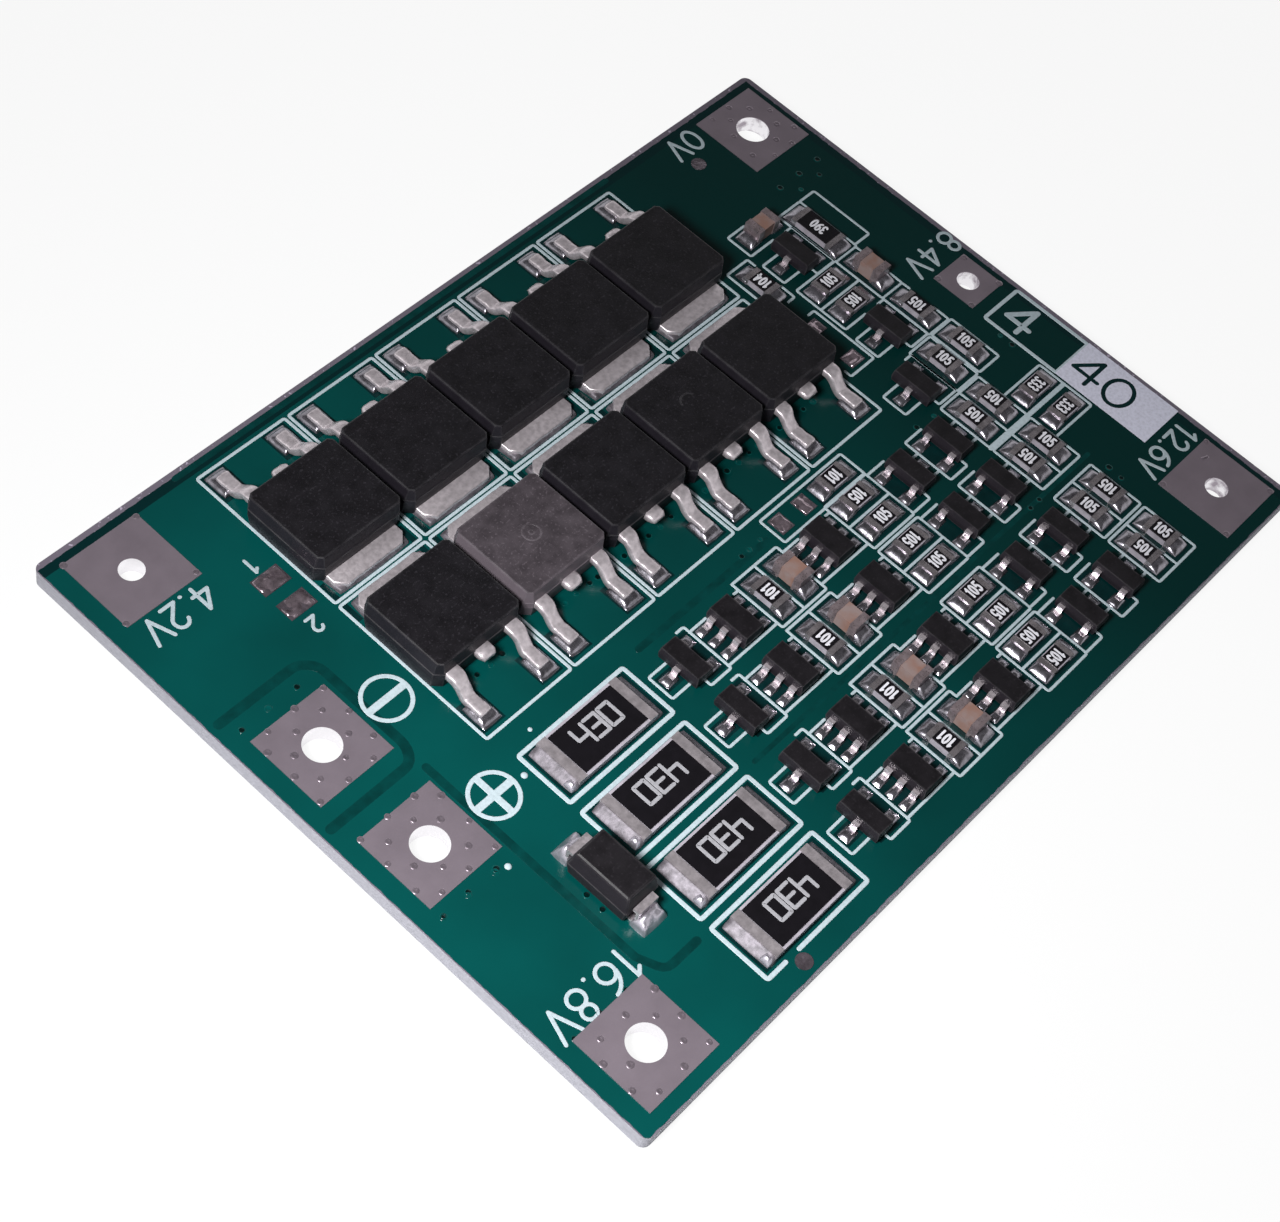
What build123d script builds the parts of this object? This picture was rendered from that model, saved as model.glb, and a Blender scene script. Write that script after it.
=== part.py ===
"""Battery management board for four lithium cells in series, in millimetres.

The origin is the middle of the board's underside. +X runs along the long side, +Y along
the short side, and +Z up through the parts. Ten switching transistors stand in two rows,
tabs facing each other. Four shunt resistors and four rows of small parts, one row for
each cell, fill the lower half. Seven plated holes in square lands take the wires.
"""
import os

from build123d import *

os.makedirs("parts", exist_ok=True)

# Bare board
board_length = 60.0
board_width = 45.0
board_thickness = 1.2
board_corner = 0.5
land_thickness = 0.05

# Plated-through wire terminals: a square land on each face and a barrel between them
power_land = 5.3
tap_land = 3.2
wide_bore = 2.2
narrow_bore = 1.5
plating = 0.16
left_inset = 3.85
right_inset = 3.4
tap_inset = 2.4
end_inset = 3.55
minus_y = 4.2
plus_y = -3.75
tap_y = 1.5

# Power switches: a moulded body on a soldered tab, with two formed leads and a cut stub
switch_columns = 5
switch_row_centre = -2.27
switch_gap = 0.35
tab_line_y = 10.0
tab_gap = 0.8
switch_width = 6.6
switch_depth = 6.1
switch_height = 2.3
switch_draft = 7
switch_corner = 0.45
tab_width = 5.3
tab_reach = 1.1
tab_run_in = 4.2
tab_thickness = 0.5
tab_chamfer = 0.55
lead_thickness = 0.5
lead_width = 0.85
lead_spread = 2.286
lead_level = 0.9
lead_reach = 2.75
lead_shoulder = 0.55
lead_foot = 1.4
lead_bend = 0.45
stub_width = 1.15
stub_length = 0.7
ejector_diameter = 1.2
ejector_depth = 0.06
marked_switch = ("lower", 2)
tab_land_margin = 0.12
lead_land_width = 1.45
lead_land_length = 1.8
lead_land_overrun = 0.6

# Diode
diode_clearance = 1.18
diode_y = -11.7
diode_length = 4.2
diode_width = 2.6
diode_height = 2.3
diode_lift = 0.3
diode_draft = 6
diode_lead_width = 1.5
diode_lead_thickness = 0.2
diode_lead_level = 1.1
diode_lead_reach = 0.45
diode_lead_tuck = 0.8
diode_land_width = 2.1
diode_fillet_reach = 0.5

# Shunt resistors
shunt_count = 4
shunt_clearance = 1.06
shunt_first_y = -5.1
shunt_gap = 1.43
shunt_length = 6.3
shunt_width = 3.2
shunt_height = 0.55
shunt_wrap = 0.62
shunt_coat_end_gap = 0.055
shunt_coat_side_gap = 0.175
shunt_fillet_reach = 0.6

# Small transistors with three legs
small_width = 1.3
small_length = 2.9
small_height = 1.0
small_leg_span = 2.45
small_leg_pitch = 1.9
small_land_span = 3.5
small_land_width = 0.8
small_leg_level = 0.45

# Chips with six legs
chip_width = 1.6
chip_length = 2.9
chip_height = 1.1
chip_leg_span = 2.85
chip_leg_pitch = 0.95
chip_land_span = 3.85
chip_land_width = 0.62
chip_leg_level = 0.5

# Common to the small transistors and the chips
leg_thickness = 0.15
leg_width = 0.42
leg_foot = 0.4
leg_shoulder = 0.12
leg_land_length = 1.0
small_lift = 0.1
small_draft = 8

# Chip resistors and capacitors
resistor_length = 2.0
resistor_width = 1.25
resistor_height = 0.45
big_resistor_length = 3.2
big_resistor_width = 1.6
coat_thickness = 0.04
coat_side_margin = 0.08
wrap_thickness = 0.05
wrap_length = 0.38
capacitor_height = 1.1
capacitor_wrap = 0.5
fillet_reach = 0.65
fillet_toe = 0.05
fillet_climb = 0.8
capacitor_fillet_climb = 0.6

# Printed cells that hold the small parts: the free space that each leaves round its part
slot_margin = 0.75
lying_margin = 0.5
upright_margin = 0.55
tall_margin = 0.3
legged_margin = 0.45
mirror_margin = 0.25
body_margin = 0.75
lying_gap = 0.69
row_gap = 0.85
pair_gap = 0.55

# Where the groups of small parts stand: a share is of the free room that a group leaves
columns_right_share = 0.293
cell_row_first_y = -5.58
single_shift = 0.1
mirror_shift = -0.08
sense_y = -2.78
side_right_share = 0.375
side_top_y = 13.82
mast_top_y = 12.87
timing_share = 0.566
timing_y = 9.85
brake_shift = 0.23
brake_y = -1.7
twin_shift = 2.11
twin_pitch = 2.2
divider_clearance = 0.34
divider_first_y = -6.68
divider_gap = 0.99

# Bare lands
probe_clearance = 0.6
probe_width = 1.92
probe_height = 1.28
probe_first_y = 13.55
probe_pitch = 2.05
target_diameter = 1.0
far_target_clearance = 2.02
far_target_rise = 0.22
near_target_shift = 2.0
near_target_margin = 0.35
spare_land_length = 1.05
spare_land_width = 1.25
spare_lying_clearance = 1.53
spare_lying_pitch = 2.1
spare_upright_y = 3.9
spare_upright_pitch = 3.1


def seat(x, y, turn=0):
    """A place on the board's top face, turned about the upright axis."""
    return Location((x, y, board_thickness), (0, 0, turn))


# Wire terminals: side of the land, bore, middle
left_x = -board_length / 2 + left_inset
right_x = board_length / 2 - right_inset
tap_x = board_length / 2 - tap_inset
top_y = board_width / 2 - end_inset
bottom_y = -board_width / 2 + end_inset
terminals = {
    "terminal_0v": (power_land, wide_bore, right_x, top_y),
    "terminal_4v2": (power_land, narrow_bore, left_x, top_y),
    "terminal_8v4": (tap_land, narrow_bore, tap_x, tap_y),
    "terminal_12v6": (power_land, narrow_bore, right_x, bottom_y),
    "terminal_16v8": (power_land, wide_bore, left_x, bottom_y),
    "terminal_minus": (power_land, wide_bore, left_x, minus_y),
    "terminal_plus": (power_land, wide_bore, left_x, plus_y),
}

# Seats of the power switches, leads outwards, one land's thickness over the board
switch_pitch = switch_width + switch_gap
switch_offset = tab_gap / 2 + tab_reach + switch_depth / 2
switch_xs = [
    switch_row_centre + (i - (switch_columns - 1) / 2) * switch_pitch for i in range(switch_columns)
]
upper_switch_y = tab_line_y + switch_offset
lower_switch_y = tab_line_y - switch_offset
switch_level = board_thickness + land_thickness

# Sizes of the printed cells
slot_cell = resistor_width + slot_margin
lying_cell = resistor_length + 2 * fillet_reach + lying_margin
upright_cell = resistor_length + 2 * fillet_reach + upright_margin
tall_upright_cell = big_resistor_length + 2 * fillet_reach + tall_margin
single_cell = small_land_span + legged_margin
chip_cell = chip_land_span + legged_margin
mirror_cell = small_land_span + mirror_margin
body_cell = small_length + body_margin

# Columns of the cell rows, from the left, in the room between the corner lands
columns_length = (
    single_cell + 2 * chip_cell + 2 * slot_cell + lying_cell + 2 * mirror_cell + 2 * slot_cell
)
shunt_run = shunt_clearance + shunt_length + 2 * shunt_fillet_reach
corner_room = right_x - left_x - power_land - shunt_run - columns_length
columns_right_x = right_x - power_land / 2 - columns_right_share * corner_room
columns_left_x = columns_right_x - columns_length
single_x = columns_left_x + single_cell / 2
first_chip_x = single_x + single_cell / 2 + chip_cell / 2
filter_resistor_x = first_chip_x + chip_cell / 2 + slot_cell / 2
filter_capacitor_x = filter_resistor_x + slot_cell
second_chip_x = filter_capacitor_x + slot_cell / 2 + chip_cell / 2
lying_pair_x = second_chip_x + chip_cell / 2 + lying_cell / 2
first_mirror_x = lying_pair_x + lying_cell / 2 + mirror_cell / 2
second_mirror_x = first_mirror_x + mirror_cell
first_bleed_x = second_mirror_x + mirror_cell / 2 + slot_cell / 2
second_bleed_x = first_bleed_x + slot_cell
lying_offset = (resistor_width + lying_gap) / 2

# Places that follow the columns: shunts and diode on the left, dividers on the right
shunt_x = columns_left_x - shunt_clearance - shunt_fillet_reach - shunt_length / 2
diode_x = shunt_x - shunt_length / 2 - shunt_fillet_reach - diode_clearance - diode_width / 2
divider_x = columns_right_x + divider_clearance + fillet_reach + resistor_length / 2

# Cell rows, two pairs of two
cell_row_pitch = resistor_length + 2 * fillet_reach + row_gap
cell_pair_pitch = 2 * cell_row_pitch + pair_gap
cell_rows = [
    cell_row_first_y - pair * cell_pair_pitch - row * cell_row_pitch
    for pair in range(2)
    for row in range(2)
]

# Columns beside the switch rows, cell under cell from the top
row_right_x = switch_xs[-1] + switch_width / 2
row_left_x = switch_xs[0] - switch_width / 2
side_length = single_cell + slot_cell
side_room = tap_x - tap_land / 2 - row_right_x - side_length
side_left_x = tap_x - tap_land / 2 - side_right_share * side_room - side_length
timing_x = row_right_x + timing_share * (side_left_x - row_right_x)
brake_x = side_left_x - brake_shift
side_x = side_left_x + single_cell / 2
mast_x = side_left_x + single_cell + slot_cell / 2
clamp_y = side_top_y - slot_cell / 2
driver_y = clamp_y - slot_cell / 2 - body_cell / 2
first_side_resistor_y = driver_y - body_cell / 2 - slot_cell / 2
second_side_resistor_y = first_side_resistor_y - slot_cell
latch_y = second_side_resistor_y - slot_cell / 2 - body_cell / 2
big_resistor_y = mast_top_y - tall_upright_cell / 2
mast_capacitor_y = big_resistor_y - tall_upright_cell / 2 - upright_cell / 2
mast_resistor_y = mast_capacitor_y - upright_cell
twin_x = mast_x - twin_shift
twin_y = mast_resistor_y - upright_cell
divider_pitch = resistor_width + divider_gap

# Seats of the chip resistors, lying along X and standing across it
resistor_seats = [seat(lying_pair_x, y + s * lying_offset) for y in cell_rows for s in (1, -1)]
resistor_seats += [seat(lying_pair_x, sense_y)]
resistor_seats += [seat(side_x, first_side_resistor_y), seat(side_x, second_side_resistor_y)]
resistor_seats += [seat(divider_x, divider_first_y - i * divider_pitch) for i in range(2)]
resistor_seats += [
    seat(x, y, 90) for y in cell_rows for x in (filter_resistor_x, first_bleed_x, second_bleed_x)
]
resistor_seats += [seat(timing_x, timing_y, 90), seat(mast_x, mast_resistor_y, 90)]
resistor_seats += [seat(twin_x + i * twin_pitch, twin_y, 90) for i in range(2)]
big_resistor_seats = [seat(mast_x, big_resistor_y, 90)]

# Seats of the chip capacitors
capacitor_seats = [seat(filter_capacitor_x, y, 90) for y in cell_rows]
capacitor_seats += [seat(side_x, clamp_y), seat(mast_x, mast_capacitor_y, 90)]

# Seats of the small transistors: single leg towards -X, or turned round
transistor_seats = [seat(single_x, y + single_shift) for y in cell_rows]
transistor_seats += [
    seat(x, y + mirror_shift, 180) for y in cell_rows for x in (first_mirror_x, second_mirror_x)
]
transistor_seats += [seat(side_x, driver_y), seat(side_x, latch_y), seat(brake_x, brake_y)]

# Seats of the chips: those beside the transistors, then those beside the capacitors
balance_seats = [seat(first_chip_x, y) for y in cell_rows]
guard_seats = [seat(second_chip_x, y) for y in cell_rows]

# Seats of the shunts
shunt_pitch = shunt_width + shunt_gap
shunt_seats = [seat(shunt_x, shunt_first_y - i * shunt_pitch) for i in range(shunt_count)]

# Bare lands: middles of the pairs and the round targets
probe_x = row_left_x - probe_clearance - probe_width / 2
spare_lying_x = (
    lying_pair_x
    - resistor_length / 2
    - fillet_reach
    - spare_lying_clearance
    - spare_land_length / 2
)
far_target = (
    right_x - power_land / 2 - far_target_clearance - target_diameter / 2,
    top_y + far_target_rise,
)
near_target = (
    shunt_x - near_target_shift,
    -board_width / 2 + near_target_margin + target_diameter / 2,
)


def save(part, name):
    """Label a finished piece and write it to its own file."""
    part.label = name
    export_step(part, f"parts/{name}.step")


def plated_terminal(side, bore, x, y):
    """A square land on each face of the board, joined by a plated barrel."""
    with BuildPart() as terminal:
        for level in (0, board_thickness):
            with BuildSketch(Plane.XY.offset(level)):
                with Locations((x, y)):
                    Rectangle(side, side)
            extrude(amount=land_thickness)
        with BuildSketch():
            with Locations((x, y)):
                Circle(bore / 2 + plating)
        extrude(amount=board_thickness)
        with BuildSketch():
            with Locations((x, y)):
                Circle(bore / 2)
        extrude(amount=board_thickness + land_thickness, mode=Mode.SUBTRACT)
    return terminal.part


def moulded_body(width, length, lift, band, band_thickness, height, draft, corner=0):
    """A moulded package with a straight band where the leads leave, drafted above and below."""
    band_top = band + band_thickness
    with BuildPart() as body:
        for level, rise, taper in (
            (band, band_thickness, 0),
            (band_top, height - band_top, draft),
            (band, lift - band, draft),
        ):
            with BuildSketch(Plane.XY.offset(level)):
                Rectangle(width, length)
                if corner:
                    chamfer(vertices(), corner)
            extrude(amount=rise, taper=taper)
    return body.part


def formed_leg(start, shoulder, foot, tip, level, thickness, width, bend=0):
    """A leg towards +Y: level out of the body, down, then flat on its land."""
    with BuildPart() as leg:
        with BuildSketch(Plane.YZ):
            with BuildLine():
                Polyline((start, level), (start + shoulder, level), (tip - foot, 0), (tip, 0))
                offset(amount=thickness, side=Side.LEFT, kind=Kind.TANGENT)
            make_face()
        extrude(amount=width / 2, both=True)
        if bend:
            creases = edges().filter_by(Axis.X).sort_by(Axis.Y)[2:-2]
            fillet(creases.sort_by(Axis.Z)[-1], bend)
    return leg.part


def small_leg(body_width, span, level):
    """A thin sharp-bent leg of a small package, towards +Y."""
    return formed_leg(
        body_width / 2, leg_shoulder, leg_foot, span / 2, level, leg_thickness, leg_width
    )


def end_wrap(length, width, height, wrap):
    """Metal folded over both ends of a ceramic chip: top, end face and underside."""
    with BuildPart() as wraps:
        with BuildSketch(Plane.XZ):
            Rectangle(length, height, align=(Align.CENTER, Align.MIN))
            with Locations((0, wrap_thickness)):
                Rectangle(
                    length - 2 * wrap_thickness,
                    height - 2 * wrap_thickness,
                    align=(Align.CENTER, Align.MIN),
                    mode=Mode.SUBTRACT,
                )
            Rectangle(
                length - 2 * wrap,
                height,
                align=(Align.CENTER, Align.MIN),
                mode=Mode.SUBTRACT,
            )
        extrude(amount=width / 2, both=True)
    return wraps.part


def end_fillets(length, width, climb, reach):
    """Solder that runs from each end face of a part down to the end of its land."""
    with BuildPart() as fillets:
        with BuildSketch(Plane.XZ):
            with BuildLine():
                Polyline(
                    (length / 2, 0),
                    (length / 2 + reach, 0),
                    (length / 2 + reach, fillet_toe),
                    (length / 2, climb),
                    close=True,
                )
            make_face()
            mirror(about=Plane.YZ)
        extrude(amount=width / 2, both=True)
    return fillets.part


def slab(length, width, low, high):
    """A rectangular block between two heights."""
    with BuildPart() as block:
        with BuildSketch(Plane.XY.offset(low)):
            Rectangle(length, width)
        extrude(amount=high - low)
    return block.part


def metal_ends(length, width, height, wrap):
    """Metal ends of a small ceramic chip, one block on each."""
    with BuildPart() as ends:
        with GridLocations(length - wrap, 0, 2, 1):
            Box(wrap, width, height, align=(Align.CENTER, Align.CENTER, Align.MIN))
    return ends.part


def stamp(*groups):
    """Copies of each form at its seats, as separate solids of one piece."""
    with BuildPart() as group:
        for form, seats in groups:
            with Locations(*seats):
                add(form)
    return group.part


# Board, with the barrels' holes and a shallow pocket under each lower land
with BuildPart() as board:
    with BuildSketch():
        RectangleRounded(board_length, board_width, board_corner)
    extrude(amount=board_thickness)
    for side, bore, x, y in terminals.values():
        with BuildSketch():
            with Locations((x, y)):
                Circle(bore / 2 + plating)
        extrude(amount=board_thickness, mode=Mode.SUBTRACT)
        with BuildSketch():
            with Locations((x, y)):
                Rectangle(side, side)
        extrude(amount=land_thickness, mode=Mode.SUBTRACT)
save(board.part, "board")

# Wire terminals
for name, (side, bore, x, y) in terminals.items():
    save(plated_terminal(side, bore, x, y), name)

# Bare lands: probe points, aiming targets and two empty footprints
with BuildPart() as bare_lands:
    with BuildSketch(Plane.XY.offset(board_thickness)):
        with Locations(*[(probe_x, probe_first_y - i * probe_pitch) for i in range(2)]):
            Rectangle(probe_width, probe_height)
        with Locations(far_target, near_target):
            Circle(target_diameter / 2)
        with Locations((spare_lying_x, sense_y)):
            with GridLocations(spare_lying_pitch, 0, 2, 1):
                Rectangle(spare_land_length, spare_land_width)
        with Locations((timing_x, spare_upright_y)):
            with GridLocations(0, spare_upright_pitch, 1, 2):
                Rectangle(spare_land_width, spare_land_length)
    extrude(amount=land_thickness)
save(bare_lands.part, "bare_lands")

# Switch body, moulded round the tab and open under it
tab_seat = (0, -switch_depth / 2 - tab_reach)
with BuildPart() as switch_body:
    add(
        moulded_body(
            switch_width,
            switch_depth,
            0,
            lead_level,
            lead_thickness,
            switch_height,
            switch_draft,
            switch_corner,
        )
    )
    with BuildSketch():
        with Locations(tab_seat):
            Rectangle(tab_width, tab_reach + tab_run_in, align=(Align.CENTER, Align.MIN))
    extrude(amount=tab_thickness, mode=Mode.SUBTRACT)

# The same body with the round mark of an ejector pin
with BuildPart() as marked_switch_body:
    add(switch_body.part)
    with BuildSketch(Plane.XY.offset(switch_height)):
        Circle(ejector_diameter / 2)
    extrude(amount=-ejector_depth, mode=Mode.SUBTRACT)

# Switch lead frame: tab, cut stub in the middle and a formed lead on each side
with BuildPart() as switch_frame:
    with BuildSketch():
        with Locations(tab_seat):
            Rectangle(tab_width, tab_reach + tab_run_in, align=(Align.CENTER, Align.MIN))
        chamfer(vertices().group_by(Axis.Y)[0], tab_chamfer)
    extrude(amount=tab_thickness)
    with BuildSketch(Plane.XY.offset(lead_level)):
        with Locations((0, switch_depth / 2)):
            Rectangle(stub_width, stub_length, align=(Align.CENTER, Align.MIN))
    extrude(amount=lead_thickness)
    with Locations((-lead_spread, 0), (lead_spread, 0)):
        add(
            formed_leg(
                switch_depth / 2,
                lead_shoulder,
                lead_foot,
                switch_depth / 2 + lead_reach,
                lead_level,
                lead_thickness,
                lead_width,
                lead_bend,
            )
        )

# Lands under a switch: one for the tab and one for each lead
with BuildPart() as switch_lands:
    with BuildSketch():
        with Locations((0, -switch_depth / 2 - tab_reach - tab_land_margin)):
            Rectangle(
                tab_width + 2 * tab_land_margin,
                tab_reach + tab_run_in + tab_land_margin,
                align=(Align.CENTER, Align.MIN),
            )
        with Locations((0, switch_depth / 2 + lead_reach + lead_land_overrun)):
            with Locations((-lead_spread, 0), (lead_spread, 0)):
                Rectangle(lead_land_width, lead_land_length, align=(Align.CENTER, Align.MAX))
    extrude(amount=-land_thickness)

# Two rows of switches, leads outwards
switch_seats = []
for row, row_y, turn in (("upper", upper_switch_y, 0), ("lower", lower_switch_y, 180)):
    for number, x in enumerate(switch_xs, start=1):
        place = Location((x, row_y, switch_level), (0, 0, turn))
        switch_seats.append(place)
        body = marked_switch_body if (row, number) == marked_switch else switch_body
        save(stamp((body.part, [place])), f"{row}_switch_body_{number}")
        save(stamp((switch_frame.part, [place])), f"{row}_switch_frame_{number}")

# Diode, its leads bent down and tucked under the body
diode_seats = [seat(diode_x, diode_y, 90)]
diode_body = moulded_body(
    diode_length,
    diode_width,
    diode_lift,
    diode_lead_level,
    diode_lead_thickness,
    diode_height,
    diode_draft,
)
save(stamp((diode_body, diode_seats)), "diode_body")

with BuildPart() as diode_leads:
    with BuildSketch(Plane.XZ):
        with Locations((diode_length / 2, 0)):
            Rectangle(
                diode_lead_reach,
                diode_lead_level + diode_lead_thickness,
                align=(Align.MIN, Align.MIN),
            )
            Rectangle(
                diode_lead_tuck, diode_lead_thickness, align=(Align.MAX, Align.MIN)
            )
            with Locations((0, diode_lead_thickness)):
                Rectangle(
                    diode_lead_reach - diode_lead_thickness,
                    diode_lead_level - diode_lead_thickness,
                    align=(Align.MIN, Align.MIN),
                    mode=Mode.SUBTRACT,
                )
        mirror(about=Plane.YZ)
    extrude(amount=diode_lead_width / 2, both=True)
save(stamp((diode_leads.part, diode_seats)), "diode_leads")

# Shunts: ceramic bar, black coat and wrapped metal ends
shunt_bar = slab(
    shunt_length - 2 * wrap_thickness, shunt_width, wrap_thickness, shunt_height - wrap_thickness
)
shunt_coat = slab(
    shunt_length - 2 * (shunt_wrap + shunt_coat_end_gap),
    shunt_width - 2 * shunt_coat_side_gap,
    shunt_height - wrap_thickness,
    shunt_height + coat_thickness,
)
shunt_ends = end_wrap(shunt_length, shunt_width, shunt_height, shunt_wrap)
for number, place in enumerate(shunt_seats, start=1):
    save(stamp((shunt_bar, [place])), f"shunt_bar_{number}")
    save(stamp((shunt_coat, [place])), f"shunt_coat_{number}")
    save(stamp((shunt_ends, [place])), f"shunt_ends_{number}")

# Chip resistors of both sizes
resistor_sizes = (
    (resistor_length, resistor_width, resistor_seats),
    (big_resistor_length, big_resistor_width, big_resistor_seats),
)
resistor_face = resistor_height - wrap_thickness
bars = [
    (slab(length - 2 * wrap_length, width, wrap_thickness, resistor_face), seats)
    for length, width, seats in resistor_sizes
]
coats = [
    (
        slab(
            length - 2 * wrap_length,
            width - 2 * coat_side_margin,
            resistor_face,
            resistor_height + coat_thickness,
        ),
        seats,
    )
    for length, width, seats in resistor_sizes
]
ends = [
    (metal_ends(length, width, resistor_height, wrap_length), seats)
    for length, width, seats in resistor_sizes
]
save(stamp(*bars), "resistor_bars")
save(stamp(*coats), "resistor_coats")
save(stamp(*ends), "resistor_ends")

# Chip capacitors
capacitor_body = slab(
    resistor_length - 2 * capacitor_wrap,
    resistor_width - 2 * wrap_thickness,
    wrap_thickness,
    capacitor_height - wrap_thickness,
)
capacitor_caps = metal_ends(resistor_length, resistor_width, capacitor_height, capacitor_wrap)
save(stamp((capacitor_body, capacitor_seats)), "capacitor_bodies")
save(stamp((capacitor_caps, capacitor_seats)), "capacitor_ends")

# Chips with six legs: bodies one by one, legs together
chip_body = moulded_body(
    chip_width, chip_length, small_lift, chip_leg_level, leg_thickness, chip_height, small_draft
)
for name, seats in (("balance_chip", balance_seats), ("guard_chip", guard_seats)):
    for number, place in enumerate(seats, start=1):
        save(stamp((chip_body, [place])), f"{name}_{number}")
chip_leg = small_leg(chip_width, chip_leg_span, chip_leg_level - land_thickness)
chip_leg_places = [
    Location((0, row * chip_leg_pitch, land_thickness), (0, 0, turn))
    for row in (-1, 0, 1)
    for turn in (-90, 90)
]
chip_legs = stamp((chip_leg, chip_leg_places))
chip_seats = balance_seats + guard_seats
save(stamp((chip_legs, chip_seats)), "chip_legs")

# Small transistors: a single leg on one side and two on the other
transistor_body = moulded_body(
    small_width,
    small_length,
    small_lift,
    small_leg_level,
    leg_thickness,
    small_height,
    small_draft,
)
transistor_leg = small_leg(small_width, small_leg_span, small_leg_level - land_thickness)
transistor_leg_places = [
    Location((0, 0, land_thickness), (0, 0, 90)),
    Location((0, small_leg_pitch / 2, land_thickness), (0, 0, -90)),
    Location((0, -small_leg_pitch / 2, land_thickness), (0, 0, -90)),
]
transistor_legs = stamp((transistor_leg, transistor_leg_places))
save(stamp((transistor_body, transistor_seats)), "transistor_bodies")
save(stamp((transistor_legs, transistor_seats)), "transistor_legs")

# Soldered lands under the legs of chips and small transistors
with BuildPart() as chip_lands:
    with BuildSketch():
        with GridLocations(chip_land_span - leg_land_length, chip_leg_pitch, 2, 3):
            Rectangle(leg_land_length, chip_land_width)
    extrude(amount=land_thickness)
with BuildPart() as transistor_lands:
    with BuildSketch():
        with Locations((-small_land_span / 2, 0)):
            Rectangle(leg_land_length, small_land_width, align=(Align.MIN, Align.CENTER))
        with Locations((small_land_span / 2, 0)):
            with GridLocations(0, small_leg_pitch, 1, 2):
                Rectangle(leg_land_length, small_land_width, align=(Align.MAX, Align.CENTER))
    extrude(amount=land_thickness)

# Solder at every joint
resistor_climb = fillet_climb * resistor_height
resistor_fillets = end_fillets(resistor_length, resistor_width, resistor_climb, fillet_reach)
big_fillets = end_fillets(big_resistor_length, big_resistor_width, resistor_climb, fillet_reach)
capacitor_fillets = end_fillets(
    resistor_length, resistor_width, capacitor_fillet_climb, fillet_reach
)
shunt_fillets = end_fillets(
    shunt_length, shunt_width, fillet_climb * shunt_height, shunt_fillet_reach
)
diode_fillets = end_fillets(
    diode_length + 2 * diode_lead_reach, diode_land_width, diode_lead_level, diode_fillet_reach
)
solder_joints = stamp(
    (switch_lands.part, switch_seats),
    (diode_fillets, diode_seats),
    (shunt_fillets, shunt_seats),
    (resistor_fillets, resistor_seats),
    (big_fillets, big_resistor_seats),
    (capacitor_fillets, capacitor_seats),
    (chip_lands.part, chip_seats),
    (transistor_lands.part, transistor_seats),
)
save(solder_joints, "solder_joints")
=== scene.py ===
"""Dressing for a four-cell battery board: finishes, legend print, vias, solder and the stage.

Numbers in the lists are millimetres in the board's own frame: +X along the long side, +Y along
the short side and +Z up from the underside. A row of the layout is written once and repeated.
"""
import math
import random

import bpy
from bpy.props import FloatProperty, FloatVectorProperty, PointerProperty
from bpy.types import Operator, Panel, PropertyGroup
from mathutils import Matrix, Quaternion, Vector, noise


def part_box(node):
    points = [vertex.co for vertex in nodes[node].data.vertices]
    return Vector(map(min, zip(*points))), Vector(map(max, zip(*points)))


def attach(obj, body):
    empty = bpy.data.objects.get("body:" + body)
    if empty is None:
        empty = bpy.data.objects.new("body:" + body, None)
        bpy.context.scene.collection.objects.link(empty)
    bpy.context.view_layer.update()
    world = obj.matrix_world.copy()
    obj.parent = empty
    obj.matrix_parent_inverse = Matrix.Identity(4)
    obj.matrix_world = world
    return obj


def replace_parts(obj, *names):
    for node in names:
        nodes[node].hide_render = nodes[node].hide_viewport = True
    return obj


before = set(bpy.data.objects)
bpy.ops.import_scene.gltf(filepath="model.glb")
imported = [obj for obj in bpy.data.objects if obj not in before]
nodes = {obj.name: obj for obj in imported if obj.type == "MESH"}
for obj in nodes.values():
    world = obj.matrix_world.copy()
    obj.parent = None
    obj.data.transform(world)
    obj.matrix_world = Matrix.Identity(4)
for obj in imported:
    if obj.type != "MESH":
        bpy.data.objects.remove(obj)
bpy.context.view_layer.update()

bl_info = {
    "name": "Battery board dressing",
    "version": (1, 0, 0),
    "blender": (4, 5, 0),
    "location": "3D View > Sidebar > Battery Board",
    "description": "Finishes, legend print, vias, solder and a studio for a four-cell battery board",
    "category": "Object",
}

mm = 0.001
half_length, half_width, board_top = (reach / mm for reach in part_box("board")[1])
land_thickness = 0.05
land_top = board_top + land_thickness
switch_height = 2.29
switch_top = land_top + switch_height

# Layout of the cell rows: rows from the top, then the printed columns from the left
cell_rows = (-5.58, -9.73, -14.43, -18.58)
column_lines = (-9.96, -6.01, -1.72, 0.25, 2.27, 6.62, 10.44, 14.16, 17.97, 19.9, 21.88)
switch_columns = (-16.17, -9.22, -2.27, 4.68, 11.63)
shunt_rows = (-5.1, -9.73, -14.36, -18.99)
shunt_column = -14.77
# The two rows of switches and their turn in degrees
switch_rows = ((14.55, 0), (5.45, 180))
switch_seats = [(x, y, turn) for y, turn in switch_rows for x in switch_columns]
grey_switch = (switch_columns[1], *switch_rows[1])
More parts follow.
